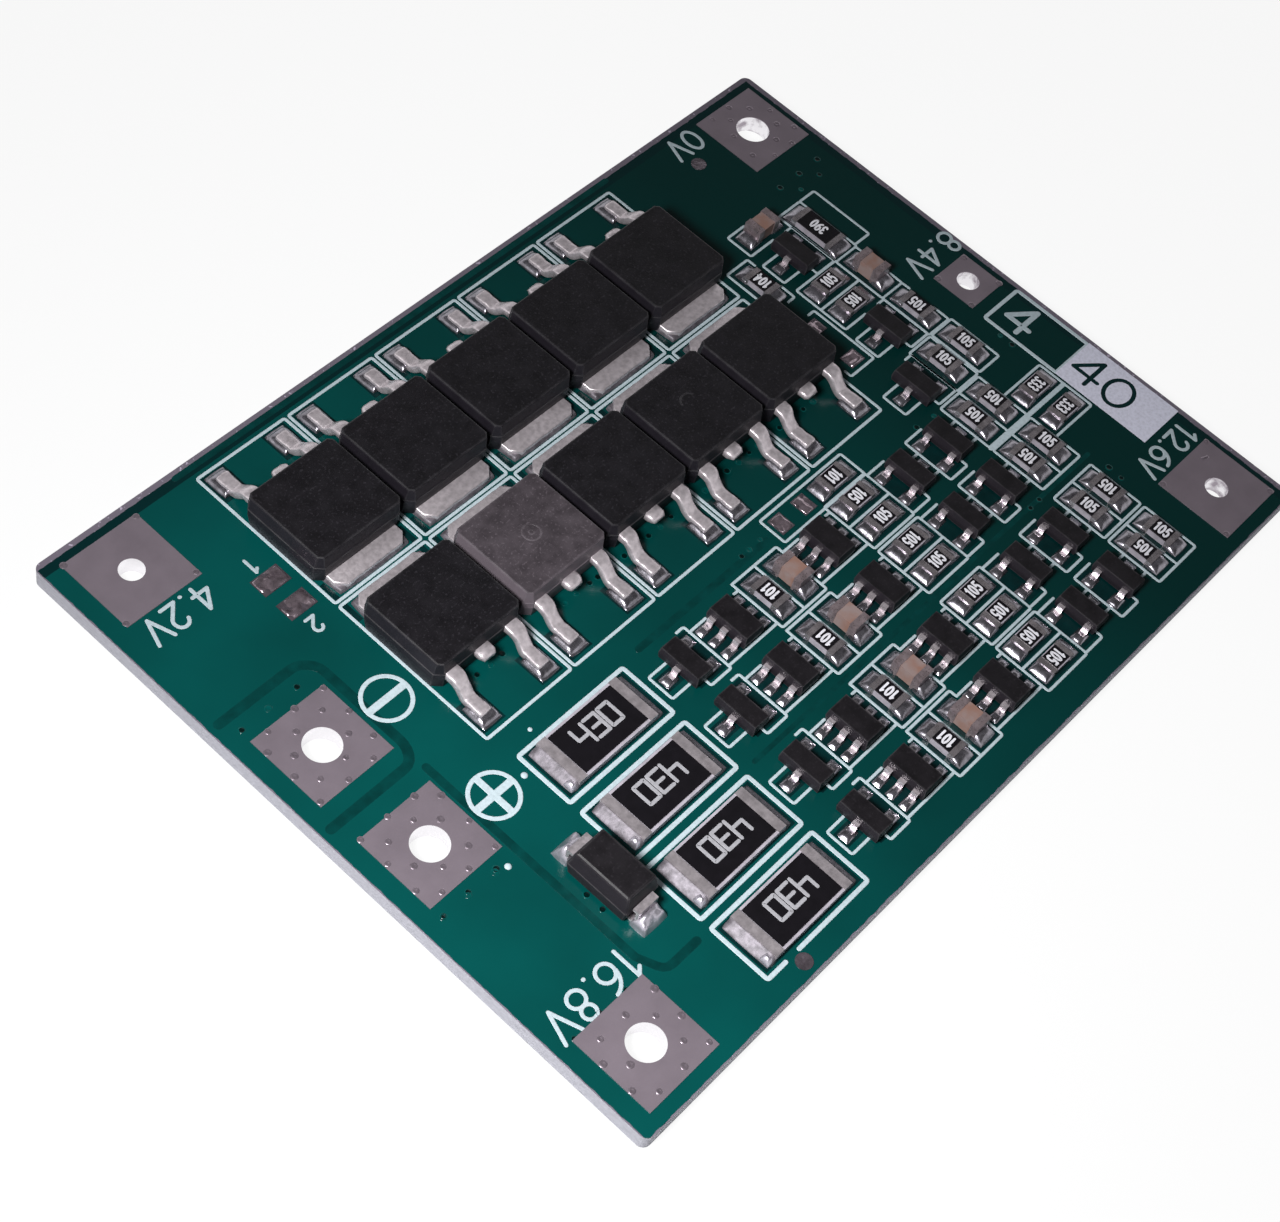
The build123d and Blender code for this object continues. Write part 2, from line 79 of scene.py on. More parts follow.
# Chip resistors with their codes and the turn of the code: lying along X, then standing
lying_resistors = [(8.49, -2.78, "101", 180), (20.105, 7.17, "105", 0), (20.105, 5.17, "105", 180)]
lying_resistors += [(23.88, -6.68, "333", 180), (23.88, -8.92, "333", 180)]
for row_y, upper, lower in zip(cell_rows, (180, 180, 0, 180), (0, 0, 180, 180)):
    lying_resistors += [(8.49, row_y + 0.97, "105", upper), (8.49, row_y - 0.97, "105", lower)]
upright_resistors = [(-0.71, row_y, "101", 90) for row_y in cell_rows]
for row_y, first, second in zip(cell_rows, (90, 90, -90, 90), (90, -90, 90, -90)):
    upright_resistors += [(18.89, row_y, "105", first), (20.89, row_y, "105", second)]
upright_resistors += [(16.74, 9.85, "104", 90), (23.08, 2.295, "105", 90)]
upright_resistors += [(20.97, -1.555, "105", -90), (23.17, -1.555, "105", -90)]
big_resistor = (23.08, 10.47, "390", 90)
resistor_seats = [(x, y, 0) for x, y, code, turn in lying_resistors]
resistor_seats += [(x, y, 90) for x, y, code, turn in upright_resistors]
capacitor_seats = [(1.29, row_y, 90) for row_y in cell_rows] + [(20.105, 12.82, 0), (23.08, 6.145, 90)]
transistor_seats = [(-7.99, row_y + 0.1, 0) for row_y in cell_rows]
transistor_seats += [(x, row_y - 0.08, 180) for row_y in cell_rows for x in (12.26, 16.01)]
transistor_seats += [(20.105, 9.995, 0), (20.105, 2.345, 0), (17.9, -1.7, 0)]
chip_seats = [(x, row_y, 0) for row_y in cell_rows for x in (-3.86, 4.44)]
diode_seat = (-21.0, -11.7, 90)
# Length and width over the ends of the parts, and the leads' places across a switch
chip_size = (2.0, 1.25)
big_chip_size = (3.2, 1.6)
shunt_size = (6.3, 3.2)
diode_span = (5.1, 1.5)
switch_leads = (-2.286, 2.286)
leg_pitch = 0.95
# Wire terminals: the middle of each land, its width and its hole
land_rows = {
    "terminal_0v": (26.6, 18.95, 5.3, 2.2),
    "terminal_4v2": (-26.15, 18.95, 5.3, 1.5),
    "terminal_8v4": (27.6, 1.5, 3.2, 1.5),
    "terminal_12v6": (26.6, -18.95, 5.3, 1.5),
    "terminal_16v8": (-26.15, -18.95, 5.3, 2.2),
    "terminal_minus": (-26.15, 4.2, 5.3, 2.2),
    "terminal_plus": (-26.15, -3.75, 5.3, 2.2),
}


def length_setting(label, explained, millimetres):
    """A length that the user can change, given in millimetres."""
    return FloatProperty(
        name=label, description=explained, default=millimetres * mm, min=0, unit="LENGTH", precision=5
    )


def colour_setting(label, explained, shade):
    """A colour that the user can change."""
    return FloatVectorProperty(
        name=label, description=explained, default=shade, subtype="COLOR", size=3, min=0, max=1
    )


class BoardSizes(PropertyGroup):
    """Sizes of what is printed on the board or formed in its surface."""

    print_height: length_setting("Print height", "Thickness of the legend ink", 0.018)
    fine_line: length_setting("Fine line", "Width of the lines round the small parts", 0.18)
    frame_line: length_setting("Switch frame line", "Width of the lines round the switches", 0.2)
    shunt_line: length_setting("Shunt line", "Width of the lines round the shunts", 0.27)
    text_line: length_setting("Text line", "Stroke width of the voltage labels", 0.23)
    text_height: length_setting("Text height", "Height of the voltage labels", 1.62)
    code_line: length_setting("Code line", "Stroke width of the codes on the chip resistors", 0.14)
    code_height: length_setting("Code height", "Height of the codes on the chip resistors", 0.7)
    via_width: length_setting("Via width", "Outside width of a filled via", 0.46)
    rim_width: length_setting("Bare rim", "Width of bare laminate on the far edges", 0.36)
    near_rim: length_setting("Near rim", "Width of bare laminate on the near edges", 0.07)
    diode_lead_edge: length_setting("Diode lead edge", "Rounding of the diode's leads", 0.05)


class BoardColours(PropertyGroup):
    """Colours of the board and its parts."""

    mask: colour_setting("Solder mask", "Green mask over copper", (0.0003, 0.056, 0.052))
    # Also used for the darker patches at the parts' seats, where it stands partly for painted shade.
    mask_gap: colour_setting("Mask over laminate", "Green mask with no copper below", (0.0006, 0.018, 0.019))
    mask_line: colour_setting("Mask over an edge", "Green mask over a copper edge", (0.0003, 0.036, 0.034))
    laminate: colour_setting("Laminate", "Sawn glass fibre on the sides", (0.29, 0.29, 0.325))
    rim: colour_setting("Bare rim", "Bare laminate along the edges of the top", (0.15, 0.13, 0.165))
    legend: colour_setting("Legend ink", "White legend print", (0.463, 0.551, 0.593))
    label_ink: colour_setting("Label ink", "Solid white label", (0.66, 0.66, 0.78))
    tin: colour_setting("Tinned land", "Tinned copper lands", (0.265, 0.22, 0.257))
    lead: colour_setting("Tinned lead", "Leads and tabs", (0.62, 0.56, 0.59))
    solder: colour_setting("Solder", "Solder joints", (0.3, 0.285, 0.32))
    thick_solder: colour_setting("Heavy solder", "Solder on the shunts and the tabs", (0.15, 0.135, 0.155))
    land_solder: colour_setting("Bare land", "Dark, ragged tin on the empty lands", (0.4, 0.32, 0.36))
    black_moulding: colour_setting("Black moulding", "Switch bodies", (0.0052, 0.0044, 0.0062))
    grey_moulding: colour_setting("Grey moulding", "The one lighter switch body", (0.052, 0.043, 0.05))
    small_moulding: colour_setting("Small moulding", "Small bodies and diode", (0.006, 0.0048, 0.0065))
    ceramic: colour_setting("White ceramic", "Bars of the resistors", (0.4, 0.37, 0.42))
    coat: colour_setting("Resistor coat", "Black glass coat of the resistors", (0.006, 0.005, 0.007))
    code: colour_setting("Resistor code", "Codes on the chip resistors and shunts", (0.8, 0.79, 0.85))
    capacitor: colour_setting("Capacitor ceramic", "Tan ceramic of the capacitors", (0.28, 0.21, 0.2))
    capacitor_end: colour_setting("Capacitor end", "Metal ends of the capacitors", (0.33, 0.265, 0.28))


class Value:
    """A number on a shader socket, so that shader maths reads as plain Python."""

    def __init__(self, finish, socket):
        self.finish = finish
        self.socket = socket

    def maths(self, operation, *numbers):
        """The result of a Math node on these numbers."""
        return self.finish.node("ShaderNodeMath", {"operation": operation}, dict(enumerate(numbers)))

    def __add__(self, other):
        return self.maths("ADD", self, other)

    __radd__ = __add__

    def __sub__(self, other):
        return self.maths("SUBTRACT", self, other)

    def __rsub__(self, other):
        return self.maths("SUBTRACT", other, self)

    def __mul__(self, other):
        return self.maths("MULTIPLY", self, other)

    __rmul__ = __mul__

    def __gt__(self, other):
        return self.maths("GREATER_THAN", self, other)

    def __abs__(self):
        return self.maths("ABSOLUTE", self)

    def near(self, middle, reach):
        """One where the number is within reach of the middle, and nought elsewhere."""
        return self.maths("COMPARE", self, middle, reach)

    def ramp(self, low, high):
        """Nought at low and one at high, held outside them."""
        return self.finish.node("ShaderNodeMapRange", {}, {0: self, 1: low, 2: high})


class Finish:
    """A material in the making: its node tree and the one method that adds nodes."""

    def __init__(self, name):
        self.material = bpy.data.materials.new(name)
        self.material.use_nodes = True
        self.tree = self.material.node_tree
        self.tree.nodes.clear()
        self.place = self.node("ShaderNodeTexCoord", out="Object")

    def node(self, kind, settings=None, values=None, out=0):
        """Adds a node: its settings first, then the values or links of its sockets."""
        made = self.tree.nodes.new(kind)
        for name, setting in (settings or {}).items():
            setattr(made, name, setting)
        for name, value in (values or {}).items():
            socket = made.inputs[name]
            if isinstance(value, Value):
                self.tree.links.new(value.socket, socket)
            elif socket.type == "RGBA" and len(value) == 3:
                socket.default_value = (*value, 1)
            else:
                socket.default_value = value
        return Value(self, made.outputs[out])

    def mix(self, share, first, second):
        """The first colour where the share is nought, the second where it is one."""
        return self.node("ShaderNodeMix", {"data_type": "RGBA"}, {0: share, 6: first, 7: second}, 2)

    def mottle(self, cloud, colour, dark, light, low=0.3, high=0.7):
        """The colour, from its dark to its light tint as the cloud goes from low to high."""
        return self.mix(cloud.ramp(low, high), tint(colour, dark), tint(colour, light))

    def grain(self, size, detail=2.0, stretch=(1, 1, 1)):
        """Noise whose spots are about this many millimetres across."""
        where = self.node("ShaderNodeMapping", {}, {"Vector": self.place, "Scale": stretch})
        return self.node(
            "ShaderNodeTexNoise", {}, {"Vector": where, "Scale": 1 / (size * mm), "Detail": detail}
        )

    def axes(self):
        """The place on the board, as three numbers in metres."""
        split = self.node("ShaderNodeSeparateXYZ", {}, {0: self.place}).socket.node
        return [Value(self, split.outputs[axis]) for axis in range(3)]

    def facing(self):
        """How far the surface faces up or down, from nought to one."""
        normal = self.node("ShaderNodeNewGeometry", out="Normal")
        return abs(self.node("ShaderNodeSeparateXYZ", {}, {0: normal}, 2))

    def relief(self, height, depth, strength=1.0, under=None):
        """A bump of this depth in millimetres, on top of another one if given."""
        values = {"Height": height, "Distance": depth * mm, "Strength": strength}
        if under:
            values["Normal"] = under
        return self.node("ShaderNodeBump", {}, values)

    def surface(self, values):
        """Closes the material with a plain surface shader that has these values."""
        self.close(self.node("ShaderNodeBsdfPrincipled", {}, values))
        return self.material

    def close(self, shader):
        """Links the last shader to the material's output."""
        made = self.tree.nodes.new("ShaderNodeOutputMaterial")
        self.tree.links.new(shader.socket, made.inputs["Surface"])


def tint(colour, factor, lift=0.0):
    """The colour made darker or lighter by a factor, then lifted by a fixed amount."""
    return [min(1, shade * factor + lift) for shade in colour]


def mask_finish(colours, sizes):
    """The bare board: glossy mask over copper, bare laminate along the far rims and the sides, and painted
    shade that darkens the mask towards +X.
    """
    finish = Finish("board_mask")
    x, y = finish.axes()[:2]
    wobble = finish.grain(0.6, 3) * (0.16 * mm) - 0.08 * mm
    shift = sizes.rim_width / 2 - sizes.near_rim / 2
    inset = (sizes.rim_width + sizes.near_rim) / 2
    bare_strip = 0.3 * mm

    def inside(strip, waver):
        """One on the board inside its rims and a strip of this width, with a wavering edge."""
        along = (x + waver).near(-shift - strip, half_length * mm - inset - strip)
        return along * (y + waver).near(-shift - strip, half_width * mm - inset - strip)

    masked = inside(0, wobble)
    coppered = inside(bare_strip, wobble * 0.3)
    flat = finish.facing() > 0.5
    green = finish.mottle(finish.grain(9, 3), colours.mask, 0.84, 1.16)
    # Painted shade: the mask grows darker towards +X, away from the lamp, as the light falls off.
    painted_falloff = (x + wobble * 4).ramp(-16 * mm, 18 * mm)
    green = finish.mix(painted_falloff, green, tint(colours.mask, 0.42))
    green = finish.mix(coppered, colours.mask_gap[:], green)
    sides = finish.mottle(finish.grain(0.5, 3, (1, 1, 8)), colours.laminate, 0.86, 1.2)
    edge = finish.mottle(finish.grain(0.3, 3), colours.rim, 1, 3, 0.62, 0.7)
    top = finish.mix(masked, edge, green)
    bare = 1 - masked * flat
    return finish.surface(
        {
            "Base Color": finish.mix(flat, sides, top),
            "Roughness": 0.24 + bare * 0.4,
            "Normal": finish.relief(finish.grain(0.35), 0.004, 0.5),
            "Specular IOR Level": 0.22,
        }
    )


def film_finish(name, colour, roughness=0.26):
    """Mask that differs from the rest of the board: dimmer over a gap, or raised over a via."""
    finish = Finish(name)
    return finish.surface(
        {
            "Base Color": finish.mottle(finish.grain(0.7, 3), colour, 0.78, 1.22),
            "Roughness": roughness,
            "Normal": finish.relief(finish.grain(0.35), 0.004, 0.5),
            "Specular IOR Level": 0.22,
        }
    )


def ink_finish(name, colour):
    """Screen-printed ink, a little uneven."""
    finish = Finish(name)
    cloud = finish.grain(0.2, 3)
    return finish.surface(
        {
            "Base Color": finish.mottle(cloud, colour, 0.84, 1.04, 0.25, 0.6),
            "Roughness": 0.6,
            "Normal": finish.relief(cloud, 0.008, 0.4),
            "Specular IOR Level": 0.3,
        }
    )


def metal_finish(name, colour, spot, roughness, depth, metallic=0.85, contrast=0.3):
    """Tinned or soldered metal with spots of this size, in millimetres."""
    finish = Finish(name)
    spots = finish.grain(spot, 4)
    fine = finish.grain(spot * 0.25)
    return finish.surface(
        {
            "Base Color": finish.mottle(spots, colour, 1 - contrast, 1 + contrast * 0.7, 0.32, 0.68),
            "Metallic": metallic,
            "Roughness": roughness + (fine - 0.5) * 0.2,
            "Normal": finish.relief(fine, depth * 0.15, 0.5, finish.relief(spots, depth, 0.6)),
        }
    )


def terminal_finish(colours):
    """Tinned lands, smooth and dull, with barrels that are bright inside."""
    finish = Finish("tinned_land")
    cloud = finish.grain(1.6, 3)
    fine = finish.grain(0.09)
    land = finish.mottle(cloud, colours.tin, 0.93, 1.07)
    x, y, z = finish.axes()
    wall = (1 - (finish.facing() > 0.5)) * (board_top * mm - z > 0)
    wetted_through = finish.grain(0.8, 3).ramp(0.6, 0.4) * (x > 0)
    lining = finish.mix(wetted_through, (0.86, 0.84, 0.87), (0.34, 0.3, 0.34))
    return finish.surface(
        {
            "Base Color": finish.mix(wall, land, lining),
            "Metallic": 0.55 + wall * 0.45,
            "Roughness": 0.42 - wall * 0.28 + (fine - 0.5) * 0.12,
            "Normal": finish.relief(fine, 0.002, 0.4, finish.relief(cloud, 0.012, 0.5)),
        }
    )


def moulding_finish(name, colour, roughness=0.5, scuffs=0.6, edge_paleness=0.9):
    """Moulded epoxy: matt, finely pitted, with paler dust and scuffs, paler edges, and steep sides drawn
    lighter as painted sheen.
    """
    finish = Finish(name)
    pits = finish.grain(0.09)
    cloud = finish.grain(0.8, 5)
    dust = finish.grain(0.16, 4)
    scratch = finish.grain(0.35, 4, (1, 5, 1))
    shade = finish.mottle(cloud, colour, 0.8, 1.45, 0.35, 0.75)
    pale = (dust.ramp(0.58, 0.68) + scratch.ramp(0.62, 0.72) * 0.6) * scuffs
    shade = finish.mix(pale.maths("MINIMUM", pale, 1), shade, tint(colour, 3.4, 0.012))
    # Painted sheen: steep sides are drawn lighter than the top.
    side_sheen = 1 - finish.facing()
    shade = finish.mix(side_sheen * 0.8, shade, tint(colour, 3.2))
    # Paler along the edges, where the Bevel node's normal departs from the true one, broken up by the cloud.
    rounded = finish.node("ShaderNodeBevel", {"samples": 4}, {"Radius": 0.14 * mm})
    flat = finish.node("ShaderNodeNewGeometry", out="Normal")
    along = finish.node("ShaderNodeVectorMath", {"operation": "DOT_PRODUCT"}, {0: rounded, 1: flat}, "Value")
    pale_edge = (1 - along).ramp(0.005, 0.07) * cloud.ramp(0.25, 0.6) * edge_paleness
    return finish.surface(
        {
            "Base Color": finish.mix(pale_edge, shade, tint(colour, 2.5, 0.035)),
            "Roughness": roughness + (cloud - 0.5) * 0.3,
            "Normal": finish.relief(pits, 0.014, 0.6, finish.relief(cloud, 0.05, 0.4)),
            "Specular IOR Level": 0.28,
        }
    )


def ceramic_finish(name, colour, roughness=0.45):
    """Fired ceramic or glass, slightly cloudy and finely pitted."""
    finish = Finish(name)
    return finish.surface(
        {
            "Base Color": finish.mottle(finish.grain(0.6, 4), colour, 0.8, 1.12),
            "Roughness": roughness,
            "Normal": finish.relief(finish.grain(0.08), 0.006, 0.5),
            "Specular IOR Level": 0.35,
        }
    )


def capacitor_finish(colour):
    """Tan ceramic, browner in patches about a millimetre across."""
    finish = Finish("capacitor_ceramic")
    brown = [shade * share for shade, share in zip(colour, (0.95, 0.72, 0.6))]
    return finish.surface(
        {
            "Base Color": finish.mix(finish.grain(1.1, 3).ramp(0.4, 0.65), colour[:], brown),
            "Roughness": 0.4,
            "Normal": finish.relief(finish.grain(0.12), 0.008, 0.5),
        }
    )


class Form:
    """A mesh put together from points in millimetres."""

    def __init__(self):
        self.points, self.faces, self.marks = [], [], []

    def add(self, points, faces, mark=0):
        """Adds points and faces; the mark is the material's number, or a list of one a face."""
        first = len(self.points)
        self.points += points
        self.faces += [[first + corner for corner in face] for face in faces]
        self.marks += mark if isinstance(mark, list) else [mark] * len(faces)

    def piece(self, name, materials, slot, smooth=False):
        """Makes the mesh a piece of the board, with its materials. The slot is not used."""
        mesh = bpy.data.meshes.new(name)
        mesh.from_pydata([Vector(p) * mm for p in self.points], [], self.faces)
        for material in materials:
            mesh.materials.append(material)
        for face, mark in zip(mesh.polygons, self.marks):
            face.material_index = mark
            face.use_smooth = smooth
        mesh.validate()
        made = bpy.data.objects.new(name, mesh)
        bpy.context.scene.collection.objects.link(made)
        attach(made, "root")
        return made


def arc(x, y, reach_x, reach_y, start, end, steps=14):
    """Points along an arc, with its angles in degrees."""
    turns = [math.radians(start + (end - start) * n / steps) for n in range(steps + 1)]
    return [(x + reach_x * math.cos(t), y + reach_y * math.sin(t)) for t in turns]


def outline(x0, x1, y0, y1):
    """The corners of a rectangle."""
    return [(x0, y0), (x1, y0), (x1, y1), (x0, y1)]


def bands(rings, sides):
    """The faces between rings that have this many points each, one ring after the other."""
    return [
        [a * sides + n, a * sides + (n + 1) % sides, (a + 1) * sides + (n + 1) % sides, (a + 1) * sides + n]
        for a in range(rings - 1)
        for n in range(sides)
    ]


def eased(points, radius, closed):
    """The same path with its corners rounded."""
    path, count = [], len(points)
    for n, point in enumerate(points):
        here = Vector(point)
        if not closed and n in (0, count - 1):
            path.append(here)
            continue
        back, ahead = Vector(points[n - 1]) - here, Vector(points[(n + 1) % count]) - here
        turn = back.angle(ahead)
        reach = min(radius, back.length / 2, ahead.length / 2)
        if turn > math.radians(150) or reach < 1e-4:
            path.append(here)
            continue
        start, end = here + back.normalized() * reach, here + ahead.normalized() * reach
        for step in range(4):
            share = step / 3
            path.append(start.lerp(here, share).lerp(here.lerp(end, share), share))
    return path


def bead(mesh, points, width, level, height, closed=False, corner=0.12):
    """A low line with sloping sides and round ends, laid along the points."""
    path = eased(points, corner, closed)
    count = len(path)
    normals = []
    for n in range(count):
        back = path[n - 1] if closed or n else path[n]
        ahead = path[(n + 1) % count] if closed or n < count - 1 else path[n]
        along = (ahead - back).normalized()
        normals.append(Vector((-along.y, along.x)))
    slope = min(height * 1.4, width * 0.3)
    cap_points = 5
    rings = []
    for reach, z in ((width / 2, level), (width / 2 - slope, level + height)):
        left = [(*(p + n * reach), z) for p, n in zip(path, normals)]
        right = [(*(p - n * reach), z) for p, n in zip(path, normals)]
        if closed:
            rings.append((left, right))
            continue
        caps = []
        for end, towards in ((-1, 1), (0, -1)):
            across = normals[end] * reach * towards
            turns = [-math.pi * (step + 1) / (cap_points + 1) for step in range(cap_points)]
            caps.append([(*(path[end] + Matrix.Rotation(turn, 2) @ across), z) for turn in turns])
        rings.append(left + caps[0] + right[::-1] + caps[1])
    if closed:
        (left_low, right_low), (left_high, right_high) = rings
        mesh.add(left_low + left_high + right_high + right_low, bands(4, count))
        return
    low, high = rings
    total, opposite = len(low), 2 * count + cap_points - 1
    faces = bands(2, total)
    for n in range(count - 1):
        faces.append([total + corner for corner in (n, n + 1, opposite - n - 1, opposite - n)])
    for first in (count - 1, opposite):
        faces.append([total + (first + n) % total for n in range(cap_points + 2)])
    mesh.add(low + high, faces)


def plate(mesh, corners, level, height):
    """A flat patch of ink or film with upright sides."""
    count = len(corners)
    points = [(x, y, z) for z in (level, level + height) for x, y in corners]
    mesh.add(points, bands(2, count) + [list(range(count, 2 * count))])


def turned(mesh, x, y, level, profile, marks=None):
    """A small round form from steps of radius and height, outermost first, with a mark a step."""
    sides, points = 14, []
    for radius, height in profile:
        points += [(*point, level + height) for point in arc(x, y, radius, radius, 0, 360, sides)[:-1]]
    faces = bands(len(profile), sides)
    faces.append([(len(profile) - 1) * sides + n for n in range(sides)])
    mesh.add(points, faces, [marks[number // sides] for number in range(len(faces))] if marks else 0)


def joined(mesh, sections):
    """A tube of equal rings of points, closed at both ends."""
    sides = len(sections[0])
    faces = bands(len(sections), sides)
    faces.append(list(range(sides))[::-1])
    faces.append([(len(sections) - 1) * sides + n for n in range(sides)])
    mesh.add([point for section in sections for point in section], faces)


def set_down(points, x, y, z, turn):
    """Points of a form moved to its seat and turned about the upright axis, in degrees."""
    cosine, sine = math.cos(math.radians(turn)), math.sin(math.radians(turn))
    return [(x + u * cosine - v * sine, y + u * sine + v * cosine, z + w) for u, v, w in points]


def wetted(
    mesh, seat, middle, size, metal, climb, toe=0.07, reach=0.5, skirt=0.24, cells=(12, 10), mark=0,
    rough=0.025, belly=0.0,
):
    """Solder on a land: domed at its edges and drawn up to the metal that stands in it.

    The land's middle and size, and the metal's low and high corners, are in the seat's own axes.
    A belly of nought draws the solder into a hollow curve, a belly of one lets it bulge.
    """
    x, y, z, turn = seat
    points = []
    for i in range(cells[0] + 1):
        for j in range(cells[1] + 1):
            s, t = -math.cos(math.pi * i / cells[0]), -math.cos(math.pi * j / cells[1])
            u = s * size[0] / 2 * math.sqrt(1 - 0.1 * t * t)
            v = t * size[1] / 2 * math.sqrt(1 - 0.1 * s * s)
            inset = min((1 - abs(s)) * size[0] / 2, (1 - abs(t)) * size[1] / 2)
            dome = math.sqrt(max(0, 1 - (1 - min(inset / skirt, 1)) ** 2))
            u, v = u + middle[0], v + middle[1]
            gap_u = max(metal[0][0] - u, 0, u - metal[1][0])
            gap_v = max(metal[0][1] - v, 0, v - metal[1][1])
            away = min(math.hypot(gap_u, gap_v) / reach, 1)
            ripple = noise.noise(Vector((x + u * 2.3, y + v * 2.3, turn))) * rough
            hollow, bulge = (1 - away) ** 2.2, math.sqrt(1 - away * away)
            rise = climb * (hollow + (bulge - hollow) * belly)
            points.append((u, v, dome * (toe + ripple + rise)))
    row = cells[1] + 1
    faces = [
        [i * row + j, (i + 1) * row + j, (i + 1) * row + j + 1, i * row + j + 1]
        for i in range(cells[0])
        for j in range(cells[1])
    ]
    mesh.add(set_down(points, x, y, z, turn), faces, mark)


def moulded(mesh, seat, reach_x, reach_y, levels):
    """A drafted moulding. Each level has its height, its inset and how far its corners are cut."""
    sections = []
    for level, inset, cut in levels:
        u, v = reach_x - inset, reach_y - inset
        ring = [
            (u, -v + cut), (u, v - cut), (u - cut, v), (-u + cut, v),
            (-u, v - cut), (-u, -v + cut), (-u + cut, -v), (u - cut, -v),
        ]
        sections.append(set_down([(*point, level) for point in ring], *seat))
    joined(mesh, sections)


# Levels of the mouldings: up to the parting line, over its small ledge, and on to the top
switch_levels = (
    (0.0, 0.11, 0.5), (0.9, 0.0, 0.48), (1.36, 0.0, 0.46), (1.4, 0.04, 0.42), (1.46, 0.05, 0.4),
    (switch_height - 0.1, 0.14, 0.28), (switch_height - 0.03, 0.17, 0.25), (switch_height, 0.23, 0.22),
)
diode_levels = (
    (0.3, 0.12, 0.08), (1.1, 0.0, 0.08), (1.22, 0.0, 0.08), (1.26, 0.03, 0.08), (2.14, 0.2, 0.08),
    (2.24, 0.25, 0.08), (2.29, 0.34, 0.08),
)


def formed_lead(mesh, seat, side, chance):
    """A thick lead from the moulding down to its land, slightly crumpled, with a cut foot."""
    x, y, z, turn = seat
    start, tip, steps, half_thickness = 2.85, 5.8, 26, 0.25
    knee, heel = 3.36 + chance.uniform(-0.05, 0.05), 4.55 + chance.uniform(-0.08, 0.08)
    sway, twist = chance.uniform(-0.07, 0.07), chance.uniform(-0.05, 0.05)
    upper, drop = 1.15, 0.9
    stations = []
    for n in range(steps + 1):
        along = start + (tip - start) * n / steps
        fall = min(max((along - knee) / (heel - knee), 0), 1)
        ease = fall * fall * (3 - 2 * fall)
        stations.append((along, upper - drop * ease, ease))
    sections = []
    for n, (along, level, ease) in enumerate(stations):
        back, ahead = stations[max(n - 1, 0)], stations[min(n + 1, steps)]
        slope = math.atan2(ahead[1] - back[1], ahead[0] - back[0])
        half = 0.5 - 0.085 * min(ease * 3, 1) + 0.025 * max(0, (along - 5.0) / 0.8)
        cut = 0.05 if n == steps else 0
        half, thick = half - cut, half_thickness - cut
        section = []
        for u, w in (
            (-1, -0.7), (-0.88, -1), (0, -1.0), (0.88, -1), (1, -0.7), (1, 0.55), (0.93, 0.84),
            (0.78, 1), (0.3, 1.04), (-0.3, 1.04), (-0.78, 1), (-0.93, 0.84), (-1, 0.55),
        ):
            crease = noise.noise(Vector((side + u * 1.6, along * 2.4 + x, w + y))) * 0.035
            across = side + u * (half + crease) + sway * math.sin(math.pi * ease) + twist * ease
            lift = w * (thick + (crease if w > 0 else 0))
            height = max(level + lift * math.cos(slope), 0)
            section.append((across, along - lift * math.sin(slope), height))
        sections.append(set_down(section, x, y, z, turn))
    joined(mesh, sections)


def cut_stub(mesh, seat, chance):
    """The short stub left where the middle lead was cut off, squeezed to a rough wedge."""
    sections = []
    for along, half, low, high in (
        (2.8, 0.575, 0.9, 1.4), (3.35, 0.56, 0.92, 1.39), (3.56, 0.53, 0.93, 1.36), (3.75, 0.42, 0.97, 1.22),
    ):
        jitter = [chance.uniform(-0.04, 0.04) for n in range(8)]
        section = [
            (-half + jitter[0], along, low + 0.08), (-half + 0.1, along + jitter[1] / 2, low),
            (half - 0.1, along, low), (half + jitter[2], along + jitter[3] / 2, low + 0.08),
            (half + jitter[4], along, high - 0.1), (half - 0.12, along + jitter[5] / 2, high),
            (-half + 0.12, along, high), (-half + jitter[6], along + jitter[7] / 2, high - 0.1),
        ]
        sections.append(set_down(section, *seat))
    joined(mesh, sections)


def tab_plate(mesh, seat, chance):
    """The flat metal tab, its free corners cut off and its edge a little dented."""
    outer, inner, half, cut, steps = -4.15, 0.05, 2.65, 0.55, 12
    rim = [(half, inner), (half, outer + cut), (half - cut, outer)]
    for n in range(1, steps):
        rim.append((half - cut - (2 * half - 2 * cut) * n / steps, outer + chance.uniform(0, 0.03)))
    rim += [(-half + cut, outer), (-half, outer + cut), (-half, inner)]
    sections = []
    for level, inset in ((0.0, 0.03), (0.06, 0.0), (0.42, 0.0), (0.48, 0.025), (0.5, 0.07)):
        ring = [(u * (1 - inset / half), v + (inset if v < inner else -inset), level) for u, v in rim]
        sections.append(set_down(ring, *seat))
    joined(mesh, sections)


